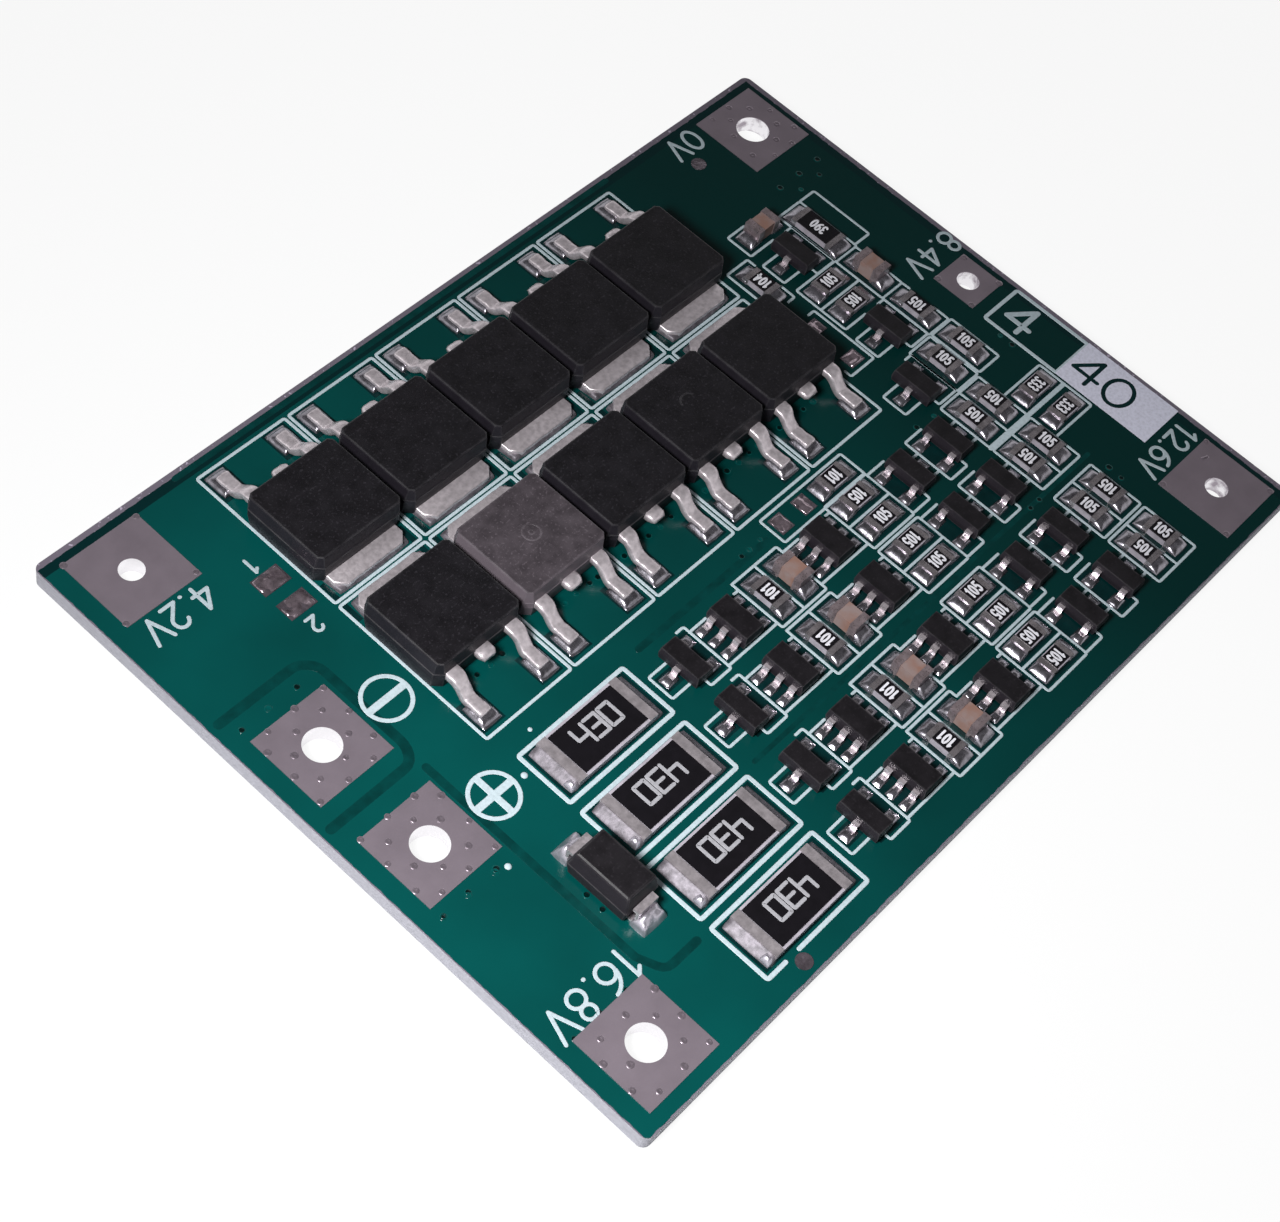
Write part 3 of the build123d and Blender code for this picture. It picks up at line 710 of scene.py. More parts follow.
# Strokes of the characters, in a box one unit high with its foot at nought. A ring is closed.
glyphs = {
    "0": (0.62, [arc(0.31, 0.5, 0.31, 0.5, 90, 450, 24)]),
    "1": (0.42, [[(0.06, 0.8), (0.28, 1), (0.28, 0)]]),
    "2": (0.58, [arc(0.29, 0.71, 0.27, 0.29, 165, -35, 10) + [(0, 0), (0.58, 0)]]),
    "3": (0.56, [arc(0.26, 0.75, 0.26, 0.25, 150, -80, 10), arc(0.26, 0.26, 0.3, 0.26, 80, -150, 10)]),
    "4": (0.64, [[(0.46, 0), (0.46, 1), (0.36, 0.86), (0, 0.3), (0.38, 0.3)], [(0.46, 0.3), (0.64, 0.3)]]),
    "5": (0.56, [[(0.52, 1), (0.1, 1), (0.06, 0.56)] + arc(0.26, 0.32, 0.3, 0.32, 115, -145, 12)]),
    "6": (0.6, [arc(0.3, 0.3, 0.3, 0.3, 180, 540, 20), arc(0.62, 0.32, 0.62, 0.66, 100, 172, 8)]),
    "8": (0.58, [arc(0.29, 0.27, 0.29, 0.27, 90, 450, 20), arc(0.29, 0.77, 0.23, 0.23, 270, 630, 18)]),
    "9": (0.6, [arc(0.3, 0.7, 0.3, 0.3, 0, 360, 20), arc(-0.02, 0.68, 0.62, 0.66, -80, -8, 8)]),
    ".": (0.14, [[(0.06, 0.0), (0.08, 0.0)]]),
    "V": (0.68, [[(0, 1), (0.34, 0), (0.68, 1)]]),
}
# Square characters, as on the shunts
square_glyphs = {
    "0": (0.62, [outline(0.0, 0.62, 0, 1) + [(0.0, 0)]]),
    "3": (0.62, [[(0.0, 1), (0.62, 1), (0.62, 0), (0.0, 0)], [(0.1, 0.5), (0.6, 0.5)]]),
    "4": (0.62, [[(0.0, 1), (0.0, 0.44), (0.5, 0.44)], [(0.62, 1), (0.62, 0)]]),
}


def parted(points, sharp=80):
    """The path cut in two wherever it turns by more than this many degrees."""
    paths = [[points[0]]]
    for back, here, ahead in zip(points, points[1:], points[2:]):
        paths[-1].append(here)
        turn = (Vector(here) - Vector(back)).angle(Vector(ahead) - Vector(here))
        if turn > math.radians(sharp):
            paths.append([here])
    paths[-1].append(points[-1])
    return paths


def letter_row(mesh, text, x, y, height, width, level, rise, turn=0, gap=0.22, font=glyphs, stretch=1.0):
    """A line of characters centred on a point and turned about it, in degrees."""
    total = sum(font[c][0] for c in text) * stretch + gap * (len(text) - 1)
    at = -total / 2
    for character in text:
        for number, stroke in enumerate(font[character][1]):
            flat = [((at + u * stretch) * height, (v - 0.5) * height, 0) for u, v in stroke]
            placed = [point[:2] for point in set_down(flat, x, y, 0, turn)]
            if math.dist(placed[0], placed[-1]) < 1e-6:
                bead(mesh, placed[:-1], width, level, rise + 0.002 * number, closed=True, corner=width * 0.25)
                continue
            for part, path in enumerate(parted(placed)):
                bead(mesh, path, width, level, rise + 0.002 * number + 0.001 * part, corner=width * 0.25)
        at += font[character][0] * stretch + gap


def dress(names, material, edge=0.0):
    """Gives CAD nodes their finish and, where an edge is asked for, softens their corners."""
    for name in names:
        node = nodes[name]
        node.data.materials.clear()
        node.data.materials.append(material)
        if edge:
            soft = node.modifiers.new("soft_edges", "BEVEL")
            soft.width = edge
            soft.segments = 2
            soft.limit_method = "ANGLE"
            soft.angle_limit = math.radians(35)
            soft.use_clamp_overlap = True


def named(*starts):
    """The names of the CAD nodes that start with one of these words."""
    return [name for name in sorted(nodes) if name.startswith(starts)]


class BOARD_OT_bare_board(Operator):
    """Give the bare board its mask, its bare rim and the dim lines between its copper areas"""

    bl_idname = "battery_board.bare_board"
    bl_label = "Bare board"

    def execute(self, context):
        sizes, colours = context.scene.battery_sizes, context.scene.battery_colours
        dress(["board"], mask_finish(colours, sizes))
        lines, dark_patches = Form(), Form()
        for points, width in (
            ([(-23.05, -0.4), (-23.05, -15.4), (-22.4, -17.0), (-20.0, -17.0)], 0.5),
            ([(-29.3, 8.7), (-23.7, 8.7), (-22.9, 7.9), (-22.9, 1.2), (-23.5, 0.3), (-29.3, 0.3)], 0.6),
            ([(-20.3, 22.0), (15.6, 22.0)], 0.4),
            ([(-9.0, -3.0), (2.2, -3.0)], 0.45),
            ([(-9.6, -12.1), (9.6, -12.1), (10.2, -12.0), (22.4, -12.0)], 0.3),
        ):
            bead(lines, points, width, board_top, 0.0016, corner=0.5)
        lines.piece("copper_edges", [film_finish("mask_over_edge", colours.mask_line)], "board")

        def cell(x, y, turn, *corners):
            """A darker patch at a part's seat: partly mask without copper under it, partly painted shade
            round and under the part.
            """
            flat = [(*corner, 0) for corner in outline(*corners)]
            plate(dark_patches, [point[:2] for point in set_down(flat, x, y, 0, turn)], board_top, 0.0012)

        # Darker patches at the parts' seats: mask over bare laminate, and painted shade round and under the
        # parts.
        for seat in switch_seats:
            cell(*seat, -3.12, -1.45, 4.35, 6.5)
            cell(*seat, 1.45, 3.15, 4.35, 6.5)
            cell(*seat, -3.12, -2.8, -4.35, -3.0)
            cell(*seat, 2.8, 3.15, -4.35, -3.0)
        chip_patch = (-1.8, 1.8, -0.86, 0.86)
        for seat in resistor_seats:
            cell(*seat, *chip_patch)
        cell(*big_resistor[:2], 90, -2.3, 2.3, -1.0, 1.0)
        for seat in capacitor_seats:
            cell(*seat, *chip_patch)
        for seat in transistor_seats:
            cell(*seat, -1.85, -0.3, -0.55, 0.55)
            cell(*seat, -0.3, 1.85, -1.6, 1.6)
        for seat in chip_seats:
            cell(*seat, -2.0, 2.0, -1.4, 1.4)
        for y in shunt_rows:
            cell(shunt_column, y, 0, -3.95, 3.95, -1.72, 1.72)
        dark_patches.piece("copper_gaps_and_painted_shade", [film_finish("mask_gap_and_painted_shade", colours.mask_gap)], "board")
        return {"FINISHED"}


class BOARD_OT_terminals(Operator):
    """Tin the plated wire terminals and the bare lands"""

    bl_idname = "battery_board.terminals"
    bl_label = "Wire terminals and lands"

    def execute(self, context):
        colours = context.scene.battery_colours
        dress(named("terminal_"), terminal_finish(colours))
        dress(["bare_lands"], metal_finish("bare_land", tint(colours.tin, 0.85), 0.6, 0.28, 0.14, 0.8))
        return {"FINISHED"}


class BOARD_OT_vias(Operator):
    """Fill the board's vias: low rings in the mask, most with a dark middle that is painted shade of the
    hole, and solder dimples in the lands
    """

    bl_idname = "battery_board.vias"
    bl_label = "Vias"

    def execute(self, context):
        sizes, colours = context.scene.battery_sizes, context.scene.battery_colours
        chance = random.Random(4)
        masked, tinned = Form(), Form()
        staggered = []
        for first_y, count in ((7.7, 7), (-1.2, 7), (-16.3, 6)):
            for row in range(count):
                columns = (-27.66, -25.75, -23.72) if row % 2 else (-28.6, -26.65, -24.7)
                staggered += [(x, first_y - 0.98 * row) for x in columns]
        far_land = [
            (26.0, 20.4), (27.9, 20.3), (25.1, 19.3), (28.9, 19.3), (28.2, 18.3), (24.8, 17.4),
            (27.1, 17.4), (29.0, 17.3), (26.0, 16.5), (27.8, 16.5), (25.1, 21.2), (26.85, 21.2),
        ]
        corners = [(x, y) for x in (-28.63, -23.67) for y in (21.46, 16.54)]
        for terminal, reach in (("terminal_8v4", 1.4), ("terminal_12v6", 2.45)):
            x, y = land_rows[terminal][:2]
            corners += [(x + side * reach, y + end * reach) for side in (-1, 1) for end in (-1, 1)]
        under_switches = [-16.9, -15.9, -14.9, -9.9, -8.9, -7.85, -7.2, -4.9, -2.9, -1.85, -0.8]
        under_switches += [2.2, 4.15, 5.2, 6.2, 7.05, 9.1, 11.25, 12.25]
        loose = [(x, 1.8) for x in under_switches]
        loose += [
            (-18.8, 2.9), (0.2, -2.7), (0.87, -2.75), (1.9, -2.65), (15.6, -3.7), (17.25, -3.8),
            (16.2, -12.1), (17.2, -12.1), (22.55, -13.5), (22.5, -14.45), (25.65, -2.6), (25.65, -3.65),
            (-22.3, -11.36), (-22.3, -12.46), (24.1, 14.5), (26.1, 14.5), (28.0, 14.5), (25.1, 13.5),
            (27.1, 13.5), (-28.7, -7.2), (-26.8, -7.2), (-24.9, -7.2),
        ]
        # Profiles as a share of the via's radius, then a height
        dimple = ((1, 0.0), (0.8, 0.02), (0.6, 0.026), (0.35, 0.014), (0.2, 0.008))
        ring = ((1, 0.0), (0.86, 0.018), (0.72, 0.022), (0.6, 0.004), (0.3, 0.002))
        for x, y in staggered + far_land + corners + loose:
            on_land, in_hole = False, False
            for land_x, land_y, land, bore in land_rows.values():
                if max(abs(x - land_x), abs(y - land_y)) < land / 2 - 0.05:
                    on_land = True
                in_hole = in_hole or math.hypot(x - land_x, y - land_y) < bore / 2 + 0.35
            if in_hole:
                continue
            x, y = x + chance.uniform(-0.06, 0.06), y + chance.uniform(-0.06, 0.06)
            radius = sizes.via_width / mm / 2 * chance.uniform(0.8, 1.05)
            if on_land:
                turned(tinned, x, y, land_top, [(radius * share, rise) for share, rise in dimple])
                continue
            # Four in five vias get a dark middle: painted shade of the open hole.
            marks = [0, 0, 1, 1, 1] if chance.random() < 0.8 else [0] * 5
            turned(masked, x, y, board_top, [(radius * share, rise) for share, rise in ring], marks)
        bead(tinned, [(27.75, -17.08), (28.1, -17.2)], 0.24, land_top, 0.05)
        film = film_finish("mask_over_via", colours.mask, 0.2)
        hole_shade = film_finish("via_hole_painted_shade", tint(colours.mask, 0.12), 0.3)
        masked.piece("masked_vias", [film, hole_shade], "board", smooth=True)
        tin = metal_finish("tinned_via", tint(colours.tin, 1.05), 0.3, 0.3, 0.01, 0.7, 0.15)
        tinned.piece("tinned_vias", [tin], "tinned_land", smooth=True)
        return {"FINISHED"}


class BOARD_OT_switches(Operator):
    """Give the ten power switches their mouldings, and form their leads, stubs and tabs"""

    bl_idname = "battery_board.switches"
    bl_label = "Power switches"

    def execute(self, context):
        colours = context.scene.battery_colours
        black = moulding_finish("black_moulding", colours.black_moulding)
        grey = moulding_finish("grey_moulding", colours.grey_moulding, 0.45, 0.35, 0.6)
        mouldings, marked, metal = Form(), Form(), Form()
        for x, y, turn in switch_seats:
            body = marked if (x, y, turn) == grey_switch else mouldings
            moulded(body, (x, y, land_top, turn), 3.3, 3.05, switch_levels)
        x, y = switch_columns[1], switch_rows[1][0]
        bead(marked, arc(x, y, 0.55, 0.55, 0, 360, 36)[:-1], 0.09, switch_top, 0.007, True)
        bead(marked, arc(x, y, 0.15, 0.15, 20, 330, 12), 0.07, switch_top, 0.004)
        x = switch_columns[3]
        bead(mouldings, arc(x, y + 0.3, 0.6, 0.6, 30, 165, 18), 0.1, switch_top, 0.006)
        bodies = named("upper_switch_body", "lower_switch_body")
        bodies.remove("lower_switch_body_2")
        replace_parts(mouldings.piece("switch_mouldings", [black], "black_moulding"), *bodies)
        made = marked.piece("marked_switch_moulding", [grey], "grey_moulding")
        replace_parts(made, "lower_switch_body_2")
        chance = random.Random(11)
        for x, y, turn in switch_seats:
            seat = (x, y, land_top, turn)
            tab_plate(metal, seat, chance)
            cut_stub(metal, seat, chance)
            for side in switch_leads:
                formed_lead(metal, seat, side, chance)
        lead = metal_finish("tinned_lead", colours.lead, 0.3, 0.4, 0.03, 0.6, 0.2)
        frames = metal.piece("switch_frames", [lead], "tinned_lead", smooth=True)
        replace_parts(frames, *named("upper_switch_frame", "lower_switch_frame"))
        return {"FINISHED"}


class BOARD_OT_diode(Operator):
    """Give the diode its moulding and its folded leads"""

    bl_idname = "battery_board.diode"
    bl_label = "Diode"

    def execute(self, context):
        sizes, colours = context.scene.battery_sizes, context.scene.battery_colours
        body = Form()
        x, y, turn = diode_seat
        moulded(body, (x, y, board_top, turn), 2.1, 1.3, diode_levels)
        black = moulding_finish("diode_moulding", colours.small_moulding, 0.5, 0.3)
        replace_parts(body.piece("diode_moulding", [black], "small_moulding"), "diode_body")
        tin = metal_finish("diode_lead", colours.lead, 0.3, 0.35, 0.03, 0.75)
        dress(["diode_leads"], tin, sizes.diode_lead_edge)
        return {"FINISHED"}


class BOARD_OT_shunts(Operator):
    """Finish the four shunt resistors and print their codes"""

    bl_idname = "battery_board.shunts"
    bl_label = "Shunt resistors"

    def execute(self, context):
        colours = context.scene.battery_colours
        dress(named("shunt_bar"), ceramic_finish("shunt_ceramic", colours.ceramic), 0.04 * mm)
        dress(named("shunt_coat"), ceramic_finish("shunt_coat_glass", colours.coat, 0.3), 0.02 * mm)
        end = metal_finish("shunt_end_tin", tint(colours.lead, 0.8), 0.5, 0.36, 0.02, 0.65, 0.25)
        dress(named("shunt_ends"), end, 0.06 * mm)
        codes = Form()
        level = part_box("shunt_coat_1")[1].z / mm
        for number, y in enumerate(shunt_rows):
            turn = 0 if number == 0 else 180
            place = (shunt_column + 0.1, y + 0.2)
            letter_row(codes, "430", *place, 1.3, 0.22, level, 0.012, turn, 0.2, square_glyphs)
        ink = ink_finish("shunt_code_ink", tint(colours.code, 0.44))
        codes.piece("shunt_codes", [ink], "white_ceramic")
        return {"FINISHED"}


class BOARD_OT_chips(Operator):
    """Finish the six-legged chips and the three-legged transistors"""

    bl_idname = "battery_board.chips"
    bl_label = "Chips and small transistors"

    def execute(self, context):
        colours = context.scene.battery_colours
        moulding = moulding_finish("small_moulding", colours.small_moulding, 0.5, 0.25)
        dress(named("balance_chip", "guard_chip") + ["transistor_bodies"], moulding, 0.04 * mm)
        legs = metal_finish("tinned_leg", tint(colours.lead, 1.25), 0.3, 0.22, 0.004, 0.75, 0.15)
        dress(["chip_legs", "transistor_legs"], legs, 0.07 * mm)
        return {"FINISHED"}


class BOARD_OT_chip_resistors(Operator):
    """Finish the chip resistors and print their codes"""

    bl_idname = "battery_board.chip_resistors"
    bl_label = "Chip resistors"

    def execute(self, context):
        sizes, colours = context.scene.battery_sizes, context.scene.battery_colours
        dress(["resistor_bars"], ceramic_finish("resistor_ceramic", colours.ceramic), 0.03 * mm)
        dress(["resistor_coats"], ceramic_finish("resistor_coat", colours.coat, 0.25))
        end = metal_finish("resistor_end_tin", tint(colours.lead, 0.7), 0.5, 0.28, 0.015, 0.8, 0.25)
        dress(["resistor_ends"], end, 0.05 * mm)
        codes = Form()
        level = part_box("resistor_coats")[1].z / mm
        height, width = sizes.code_height / mm, sizes.code_line / mm
        for x, y, code, turn in lying_resistors + upright_resistors + [big_resistor]:
            letter_row(codes, code, x, y, height, width, level, 0.006, turn, 0.22, stretch=0.55)
        codes.piece("resistor_codes", [ink_finish("code_ink", colours.code)], "white_ceramic")
        return {"FINISHED"}


class BOARD_OT_capacitors(Operator):
    """Finish the chip capacitors"""

    bl_idname = "battery_board.capacitors"
    bl_label = "Chip capacitors"

    def execute(self, context):
        colours = context.scene.battery_colours
        dress(["capacitor_bodies"], capacitor_finish(colours.capacitor), 0.06 * mm)
        ends = metal_finish("capacitor_end_tin", colours.capacitor_end[:], 0.35, 0.3, 0.03, 0.6)
        dress(["capacitor_ends"], ends, 0.08 * mm)
        return {"FINISHED"}


class BOARD_OT_solder(Operator):
    """Form the solder joints: end fillets, pools round the legs and the wetted tabs and leads"""

    bl_idname = "battery_board.solder"
    bl_label = "Solder joints"

    def execute(self, context):
        colours = context.scene.battery_colours
        joints = Form()
        thin, heavy, dark, bright = range(4)

        def ends(
            seat, size, climb, reach=0.65, margin=0.08, skirt=0.42, mark=thin, rough=0.025, belly=0.85
        ):
            """A fillet at each end of a chip part."""
            x, y, turn = seat
            length, width = size
            for way in (0, 180):
                wetted(
                    joints, (x, y, board_top, turn + way), (length / 2 + (reach - 0.35) / 2, 0),
                    (reach + 0.35, width + 2 * margin), ((-length / 2, -width / 2), (length / 2, width / 2)),
                    climb, 0.05, reach, skirt, (14, 14), mark, rough, belly,
                )

        def legs(x, y, turn, span, land, width, rows):
            """A pool at each leg on one side of a small package."""
            for row in rows:
                wetted(
                    joints, (x, y, board_top, turn), (land / 2 - 0.5, row), (1.0, width),
                    ((span / 2 - 0.5, row - 0.1), (span / 2 - 0.1, row + 0.1)),
                    0.17, 0.03, 0.55, 0.25, (14, 10), belly=1.0,
                )

        for seat in resistor_seats:
            ends(seat, chip_size, 0.3)
        ends((*big_resistor[:2], 90), big_chip_size, 0.3)
        for seat in capacitor_seats:
            ends(seat, chip_size, 0.45)
        for y in shunt_rows:
            ends((shunt_column, y, 0), shunt_size, 0.4, 0.6, 0.04, 0.3, mark=heavy, belly=0.35)
            # A small drop at each shunt's near corner in the lighter solder, whose colour is a painted
            # highlight.
            wetted(
                joints, (shunt_column, y, board_top, 0), (-3.4, -1.25), (0.62, 0.7),
                ((-3.3, -1.25), (-3.2, -1.2)), 0.34, 0.06, 0.5, 0.3, (12, 12), bright, belly=1.0,
            )
        # The diode's ends in the lighter solder, a painted highlight.
        ends(diode_seat, diode_span, 0.8, 0.8, 0.2, 0.6, mark=bright, rough=0.35, belly=1.0)
        for x, y, turn in transistor_seats:
            legs(x, y, turn, 2.45, 3.5, 0.8, (leg_pitch, -leg_pitch))
            legs(x, y, turn + 180, 2.45, 3.5, 0.8, (0,))
        for x, y, turn in chip_seats:
            for way in (0, 180):
                legs(x, y, turn + way, 2.85, 3.85, 0.62, (-leg_pitch, 0, leg_pitch))
        for x, y, turn in switch_seats:
            seat = (x, y, board_top, turn)
            wetted(
                joints, seat, (0, -2.1), (5.54, 4.34), ((-2.65, -4.15), (2.65, 0.1)),
                0.24, 0.05, 0.2, 0.12, (26, 18), heavy,
            )
            for side in switch_leads:
                wetted(
                    joints, seat, (side, 5.5), (1.45, 1.8), ((side - 0.42, 4.4), (side + 0.42, 5.8)),
                    0.3, 0.03, 0.46, 0.3, (16, 20), thin, belly=0.8,
                )
        nothing = ((90, 90), (91, 91))
        empty = [(-21.03, 13.55, 1.84, 1.2), (-21.03, 11.5, 1.84, 1.2)]
        empty += [(4.78 + side, -2.78, 0.98, 1.18) for side in (-1.05, 1.05)]
        empty += [(16.74, 3.9 + side, 1.18, 0.98) for side in (-1.55, 1.55)]
        for x, y, length, width in empty:
            wetted(
                joints, (x, y, board_top + 0.03, 0), (0, 0), (length, width), nothing,
                0, 0.07, 0.5, 0.16, (14, 14), dark, 0.16,
            )
        finishes = (
            metal_finish("solder", colours.solder, 0.4, 0.25, 0.006, 0.92, 0.4),
            metal_finish("heavy_solder", colours.thick_solder, 0.35, 0.52, 0.03, 0.4, 0.45),
            metal_finish("dark_tin", colours.land_solder, 0.4, 0.22, 0.03, 0.85, 0.4),
            # A lighter copy of the solder: painted highlight.
            metal_finish("solder_painted_highlight", tint(colours.solder, 1.8), 0.4, 0.32, 0.004, 0.8, 0.15),
        )
        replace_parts(joints.piece("solder_pools", finishes, "solder", smooth=True), "solder_joints")
        return {"FINISHED"}


class BOARD_OT_legend(Operator):
    """Print the white legend: frames, polarity signs, voltages and the two rating labels"""

    bl_idname = "battery_board.legend"
    bl_label = "Legend print"

    def execute(self, context):
        sizes, colours = context.scene.battery_sizes, context.scene.battery_colours
        height = sizes.print_height / mm
        fine, wide, frame_line = sizes.fine_line / mm, sizes.shunt_line / mm, sizes.frame_line / mm
        lines = []

        def box(x0, x1, y0, y1, width=fine):
            """A closed frame of printed line."""
            lines.append((outline(x0, x1, y0, y1), width, True))

        def run(*points, width=fine):
            """An open run of printed line."""
            lines.append((list(points), width, False))

        for x in switch_columns:
            for low, high in ((10.16, 21.2), (-1.37, 9.87)):
                box(x - 3.25, x + 3.4, low, high, frame_line)
        left, right = shunt_column - 4.18, shunt_column + 4.19
        for low, high in ((-7.04, -3.22), (-11.68, -7.85), (-16.35, -12.42)):
            box(left, right, low, high, wide)
        low, high = -21.0, -17.05
        run((-17.5, low), (left, low), (left, high), (right, high), (right, low), (-16.4, low), width=wide)

        def single(x, y):
            """Frame of a small transistor whose single leg is on the left."""
            run((x - 0.45, y + 0.9), (x - 2.0, y + 0.9), (x - 2.0, y - 0.9), (x - 0.45, y - 0.9))
            far, foot = x + 2.0, y - 1.77
            run((x + 1.4, y + 1.83), (far, y + 1.83), (far, foot), (x + 0.28, foot), (x + 0.28, y - 1.27))

        c = column_lines
        for y in cell_rows:
            single(-7.99, y + 0.05)
            for left, right in ((c[1], c[2]), (c[4], c[5])):
                run((left, y + 1.42), (left + 1.4, y + 1.42))
                run((right - 0.4, y + 1.42), (right, y + 1.42))
                run((left, y - 1.53), (right, y - 1.53))
            run((c[2], y + 1.93), (c[4], y + 1.93), (c[4], y + 1.5))
            run((c[4], y - 0.75), (c[4], y - 1.93), (c[2], y - 1.93), (c[2], y + 1.93))
            run((c[3], y + 1.93), (c[3], y - 1.93))
            box(c[5], c[6], y - 2.02, y + 1.86)
            run((c[5], y - 0.07), (c[6], y - 0.07))
            for left, right in ((c[6], c[7]), (c[7], c[8])):
                foot, back = y - 1.95, left + 1.65
                run((left + 1.6, y + 1.65), (left, y + 1.65), (left, foot), (back, foot), (back, y - 1.45))
                run((right - 0.5, y + 0.63), (right, y + 0.63))
                run((right - 0.5, y - 1.05), (right, y - 1.05))
            box(c[8], c[10], y - 2.02, y + 1.84)
            run((c[9], y - 2.02), (c[9], y + 1.84))
        run((c[8], -7.7), (c[10] + 3.8, -7.7), width=0.3)
        box(2.9, 10.45, -3.8, -1.84)
        run((22.0, -5.74), (25.72, -5.74), (25.72, -9.87), (22.0, -9.87))
        run((22.0, -7.62), (25.72, -7.62))
        run((19.7, 13.8), (18.12, 13.8), (18.12, 11.84), (20.3, 11.84))
        single(20.1, 9.95)
        single(20.1, 2.27)
        single(17.9, -1.71)
        run((22.08, 6.13), (18.23, 6.13), (18.23, 8.15), (22.08, 8.15))
        run((18.23, 6.13), (18.23, 4.1), (20.2, 4.1))
        box(22.08, 24.2, 8.05, 12.87)
        box(24.2, 25.66, 8.2, 12.87)
        run((24.1, 7.6), (24.1, 8.05), (22.08, 8.05), (22.08, 4.2), (24.1, 4.2), (24.1, 5.4))
        run((24.1, 3.6), (24.1, 4.2), (22.08, 4.2), (22.08, 0.37), (24.1, 0.37), (24.1, 1.6))
        box(19.9, 22.03, -3.58, 0.27)
        box(22.2, 24.25, -3.58, 0.27)
        run((15.74, 9.4), (15.74, 11.81), (17.74, 11.81), (17.74, 11.2))
        run((17.74, 9.0), (17.74, 7.88), (17.1, 7.88))
        run((17.3, 6.37), (17.85, 6.37), (17.85, 1.5), (15.6, 1.5), (15.6, 2.0))
        box(26.05, 29.55, -6.8, -1.07, 0.26)
        frames, signs, words, label, label_words, drops = (Form() for name in range(6))
        for number, (points, width, closed) in enumerate(lines):
            bead(frames, points, width, board_top, height + 0.0004 * (number % 7), closed, 0.14)

        x = -21.6
        for y, upright in ((4.0, False), (-4.0, True)):
            bead(signs, arc(x, y, 1.4, 1.4, 0, 360, 40)[:-1], 0.26, board_top, height, True)
            bead(signs, [(x - 1.3, y), (x + 1.3, y)], 0.45, board_top, height + 0.001)
            if upright:
                bead(signs, [(x, y - 1.3), (x, y + 1.3)], 0.42, board_top, height + 0.002)

        text, stroke = sizes.text_height / mm, sizes.text_line / mm
        for voltage, x, y, scale in (
            ("4.2V", -26.1, 15.15, 1.0),
            ("0V", 22.0, 20.85, 1.0),
            ("8.4V", 27.6, 4.4, 1.0),
            ("12.6V", 26.6, -15.2, 0.93),
            ("16.8V", -26.15, -15.35, 1.13),
        ):
            letter_row(words, voltage, x, y, text * scale, stroke, board_top, height, 180)
        for number, y in (("1", 14.95), ("2", 9.92)):
            letter_row(words, number, -21.15, y, 1.0, 0.2, board_top, height, 180)
        rating = 27.85
        letter_row(words, "4", rating, -2.75, 2.4, 0.36, board_top, height, -90, stretch=1.15)
        plate(label, outline(25.95, 29.7, -13.88, -6.8), board_top, height + 0.003)
        level = board_top + height
        letter_row(label_words, "40", rating, -9.3, 2.35, 0.3, level, 0.006, -90, 0.2, stretch=1.25)
        dome = ((1.0, 0.0), (0.9, 0.4), (0.65, 0.75), (0.3, 0.95))
        for x, y, reach in ((-19.54, -4.24, 0.2), (-17.26, -2.5, 0.14), (-24.1, -7.4, 0.2)):
            turned(drops, x, y, board_top, [(radius * reach, rise * reach * 0.5) for radius, rise in dome])

        legend = ink_finish("legend_ink", colours.legend)
        frames.piece("legend_frames", [legend], "board")
        signs.piece("polarity_signs", [legend], "board")
        words.piece("voltage_labels", [ink_finish("voltage_ink", tint(colours.legend, 0.886))], "board")
        label.piece("rating_label", [ink_finish("label_ink", colours.label_ink)], "board")
        label_words.piece("rating_number", [film_finish("label_number", colours.mask_gap)], "board")
        drops.piece("ink_drops", [legend], "board", smooth=True)
        return {"FINISHED"}


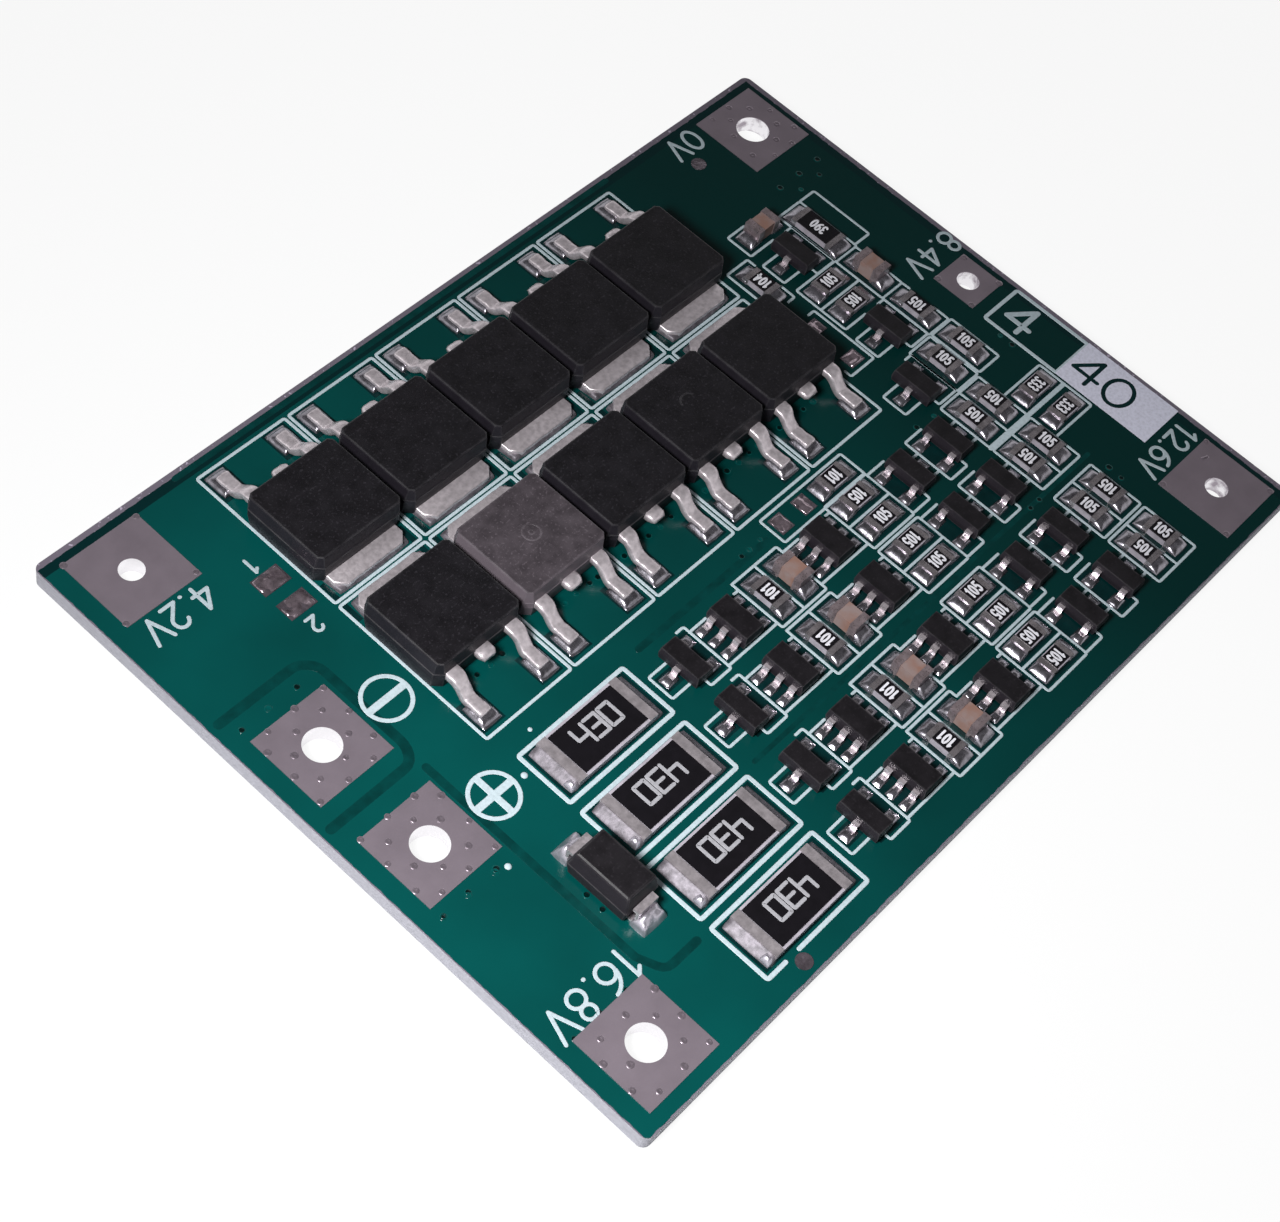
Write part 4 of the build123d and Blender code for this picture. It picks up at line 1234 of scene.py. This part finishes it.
class BOARD_OT_stage(Operator):
    """Set up the floor, the lamps, the surroundings and the camera"""

    bl_idname = "battery_board.stage"
    bl_label = "Stage"

    def execute(self, context):
        self.floor(context)
        self.light(context)
        self.camera(context)
        context.scene.view_settings.view_transform = "Standard"
        return {"FINISHED"}

    def floor(self, context):
        """A round pale floor that curves up into a wall, and looks white to the camera."""
        level, reach, bend, height, sides = -0.02, 640, 260, 520, 64
        rings = [(radius, level) for radius in (150, 420, reach)]
        rings += [
            (reach + bend * math.sin(turn), bend - bend * math.cos(turn))
            for turn in (0.4, 0.8, 1.2, math.pi / 2)
        ]
        rings.append((reach + bend, height))
        points = [(0, 0, level)]
        for radius, ring_level in rings:
            points += [(*point, ring_level) for point in arc(0, 0, radius, radius, 0, 360, sides)[:-1]]
        faces = [[0, 1 + n, 1 + (n + 1) % sides] for n in range(sides)]
        faces += [[1 + face[0], 1 + face[3], 1 + face[2], 1 + face[1]] for face in bands(len(rings), sides)]
        mesh = bpy.data.meshes.new("floor")
        mesh.from_pydata([Vector(p) * mm for p in points], [], faces)
        for face in mesh.polygons:
            face.use_smooth = True
        floor = bpy.data.objects.new("floor", mesh)
        context.scene.collection.objects.link(floor)
        finish = Finish("pale_floor")
        pale = finish.mix(finish.grain(60), (0.86, 0.86, 0.87), (0.9, 0.9, 0.9))
        white = finish.node("ShaderNodeBsdfDiffuse", {}, {"Color": pale})
        glow = finish.node("ShaderNodeEmission", {}, {"Color": (1, 1, 1), "Strength": 1.0})
        rays = finish.node("ShaderNodeLightPath").socket.node.outputs
        camera, glossy, through = (
            Value(finish, rays[kind]) for kind in ("Is Camera Ray", "Is Glossy Ray", "Is Transmission Ray")
        )
        share = (camera + glossy + through) * 0.9
        finish.close(finish.node("ShaderNodeMixShader", {}, {0: share, 1: white, 2: glow}))
        mesh.materials.append(finish.material)

    def light(self, context):
        """A dim room all round and one lamp over the near corner."""
        world = bpy.data.worlds.new("soft_room")
        world.use_nodes = True
        room = world.node_tree.nodes["Background"]
        room.inputs["Color"].default_value = (0.96, 0.97, 1, 1)
        room.inputs["Strength"].default_value = 0.11
        context.scene.world = world
        place, aim = Vector((-85, -8, 92)), Vector((-24, -14, 0))
        lamp = bpy.data.lights.new("key_lamp", "AREA")
        lamp.shape = "DISK"
        lamp.size = 30 * mm
        lamp.energy = 0.05
        lamp.spread = math.radians(86)
        placed = bpy.data.objects.new("key_lamp", lamp)
        placed.location = place * mm
        placed.rotation_euler = (aim - place).to_track_quat("-Z", "Y").to_euler()
        context.scene.collection.objects.link(placed)

    def camera(self, context):
        """The camera at the photograph's place, angle and roll."""
        place, towards, roll = (-77.747, -38.233, 113.582), (0.51302, 0.26766, -0.81558), 17.52
        lens = bpy.data.cameras.new("camera")
        lens.lens = 69.52
        lens.sensor_width = 36
        lens.clip_start = 0.005
        camera = bpy.data.objects.new("camera", lens)
        camera.location = Vector(place) * mm
        camera.rotation_mode = "QUATERNION"
        look = Vector(towards).to_track_quat("-Z", "Y")
        camera.rotation_quaternion = look @ Quaternion((0, 0, 1), math.radians(roll))
        context.scene.collection.objects.link(camera)
        context.scene.camera = camera


operators = (
    BOARD_OT_bare_board,
    BOARD_OT_terminals,
    BOARD_OT_vias,
    BOARD_OT_switches,
    BOARD_OT_diode,
    BOARD_OT_shunts,
    BOARD_OT_chips,
    BOARD_OT_chip_resistors,
    BOARD_OT_capacitors,
    BOARD_OT_solder,
    BOARD_OT_legend,
    BOARD_OT_stage,
)


class BOARD_PT_dressing(Panel):
    """The board's sizes, colours and steps"""

    bl_idname = "BOARD_PT_dressing"
    bl_label = "Battery Board"
    bl_space_type = "VIEW_3D"
    bl_region_type = "UI"
    bl_category = "Battery Board"

    def draw(self, context):
        """Lists the sizes, the colours and the steps."""
        for group in (context.scene.battery_sizes, context.scene.battery_colours):
            for name in group.bl_rna.properties.keys():
                if name not in ("rna_type", "name"):
                    self.layout.prop(group, name)
        for operator in operators:
            self.layout.operator(operator.bl_idname)


classes = (BoardSizes, BoardColours) + operators + (BOARD_PT_dressing,)


def register():
    """Adds the classes and the two groups of settings."""
    for kind in classes:
        bpy.utils.register_class(kind)
    bpy.types.Scene.battery_sizes = PointerProperty(type=BoardSizes)
    bpy.types.Scene.battery_colours = PointerProperty(type=BoardColours)


def unregister():
    """Takes the settings and the classes away again."""
    del bpy.types.Scene.battery_sizes
    del bpy.types.Scene.battery_colours
    for kind in reversed(classes):
        bpy.utils.unregister_class(kind)


def main():
    """Runs every step in order."""
    register()
    for operator in operators:
        group, step = operator.bl_idname.split(".")
        getattr(getattr(bpy.ops, group), step)()


if __name__ == "__main__":
    main()
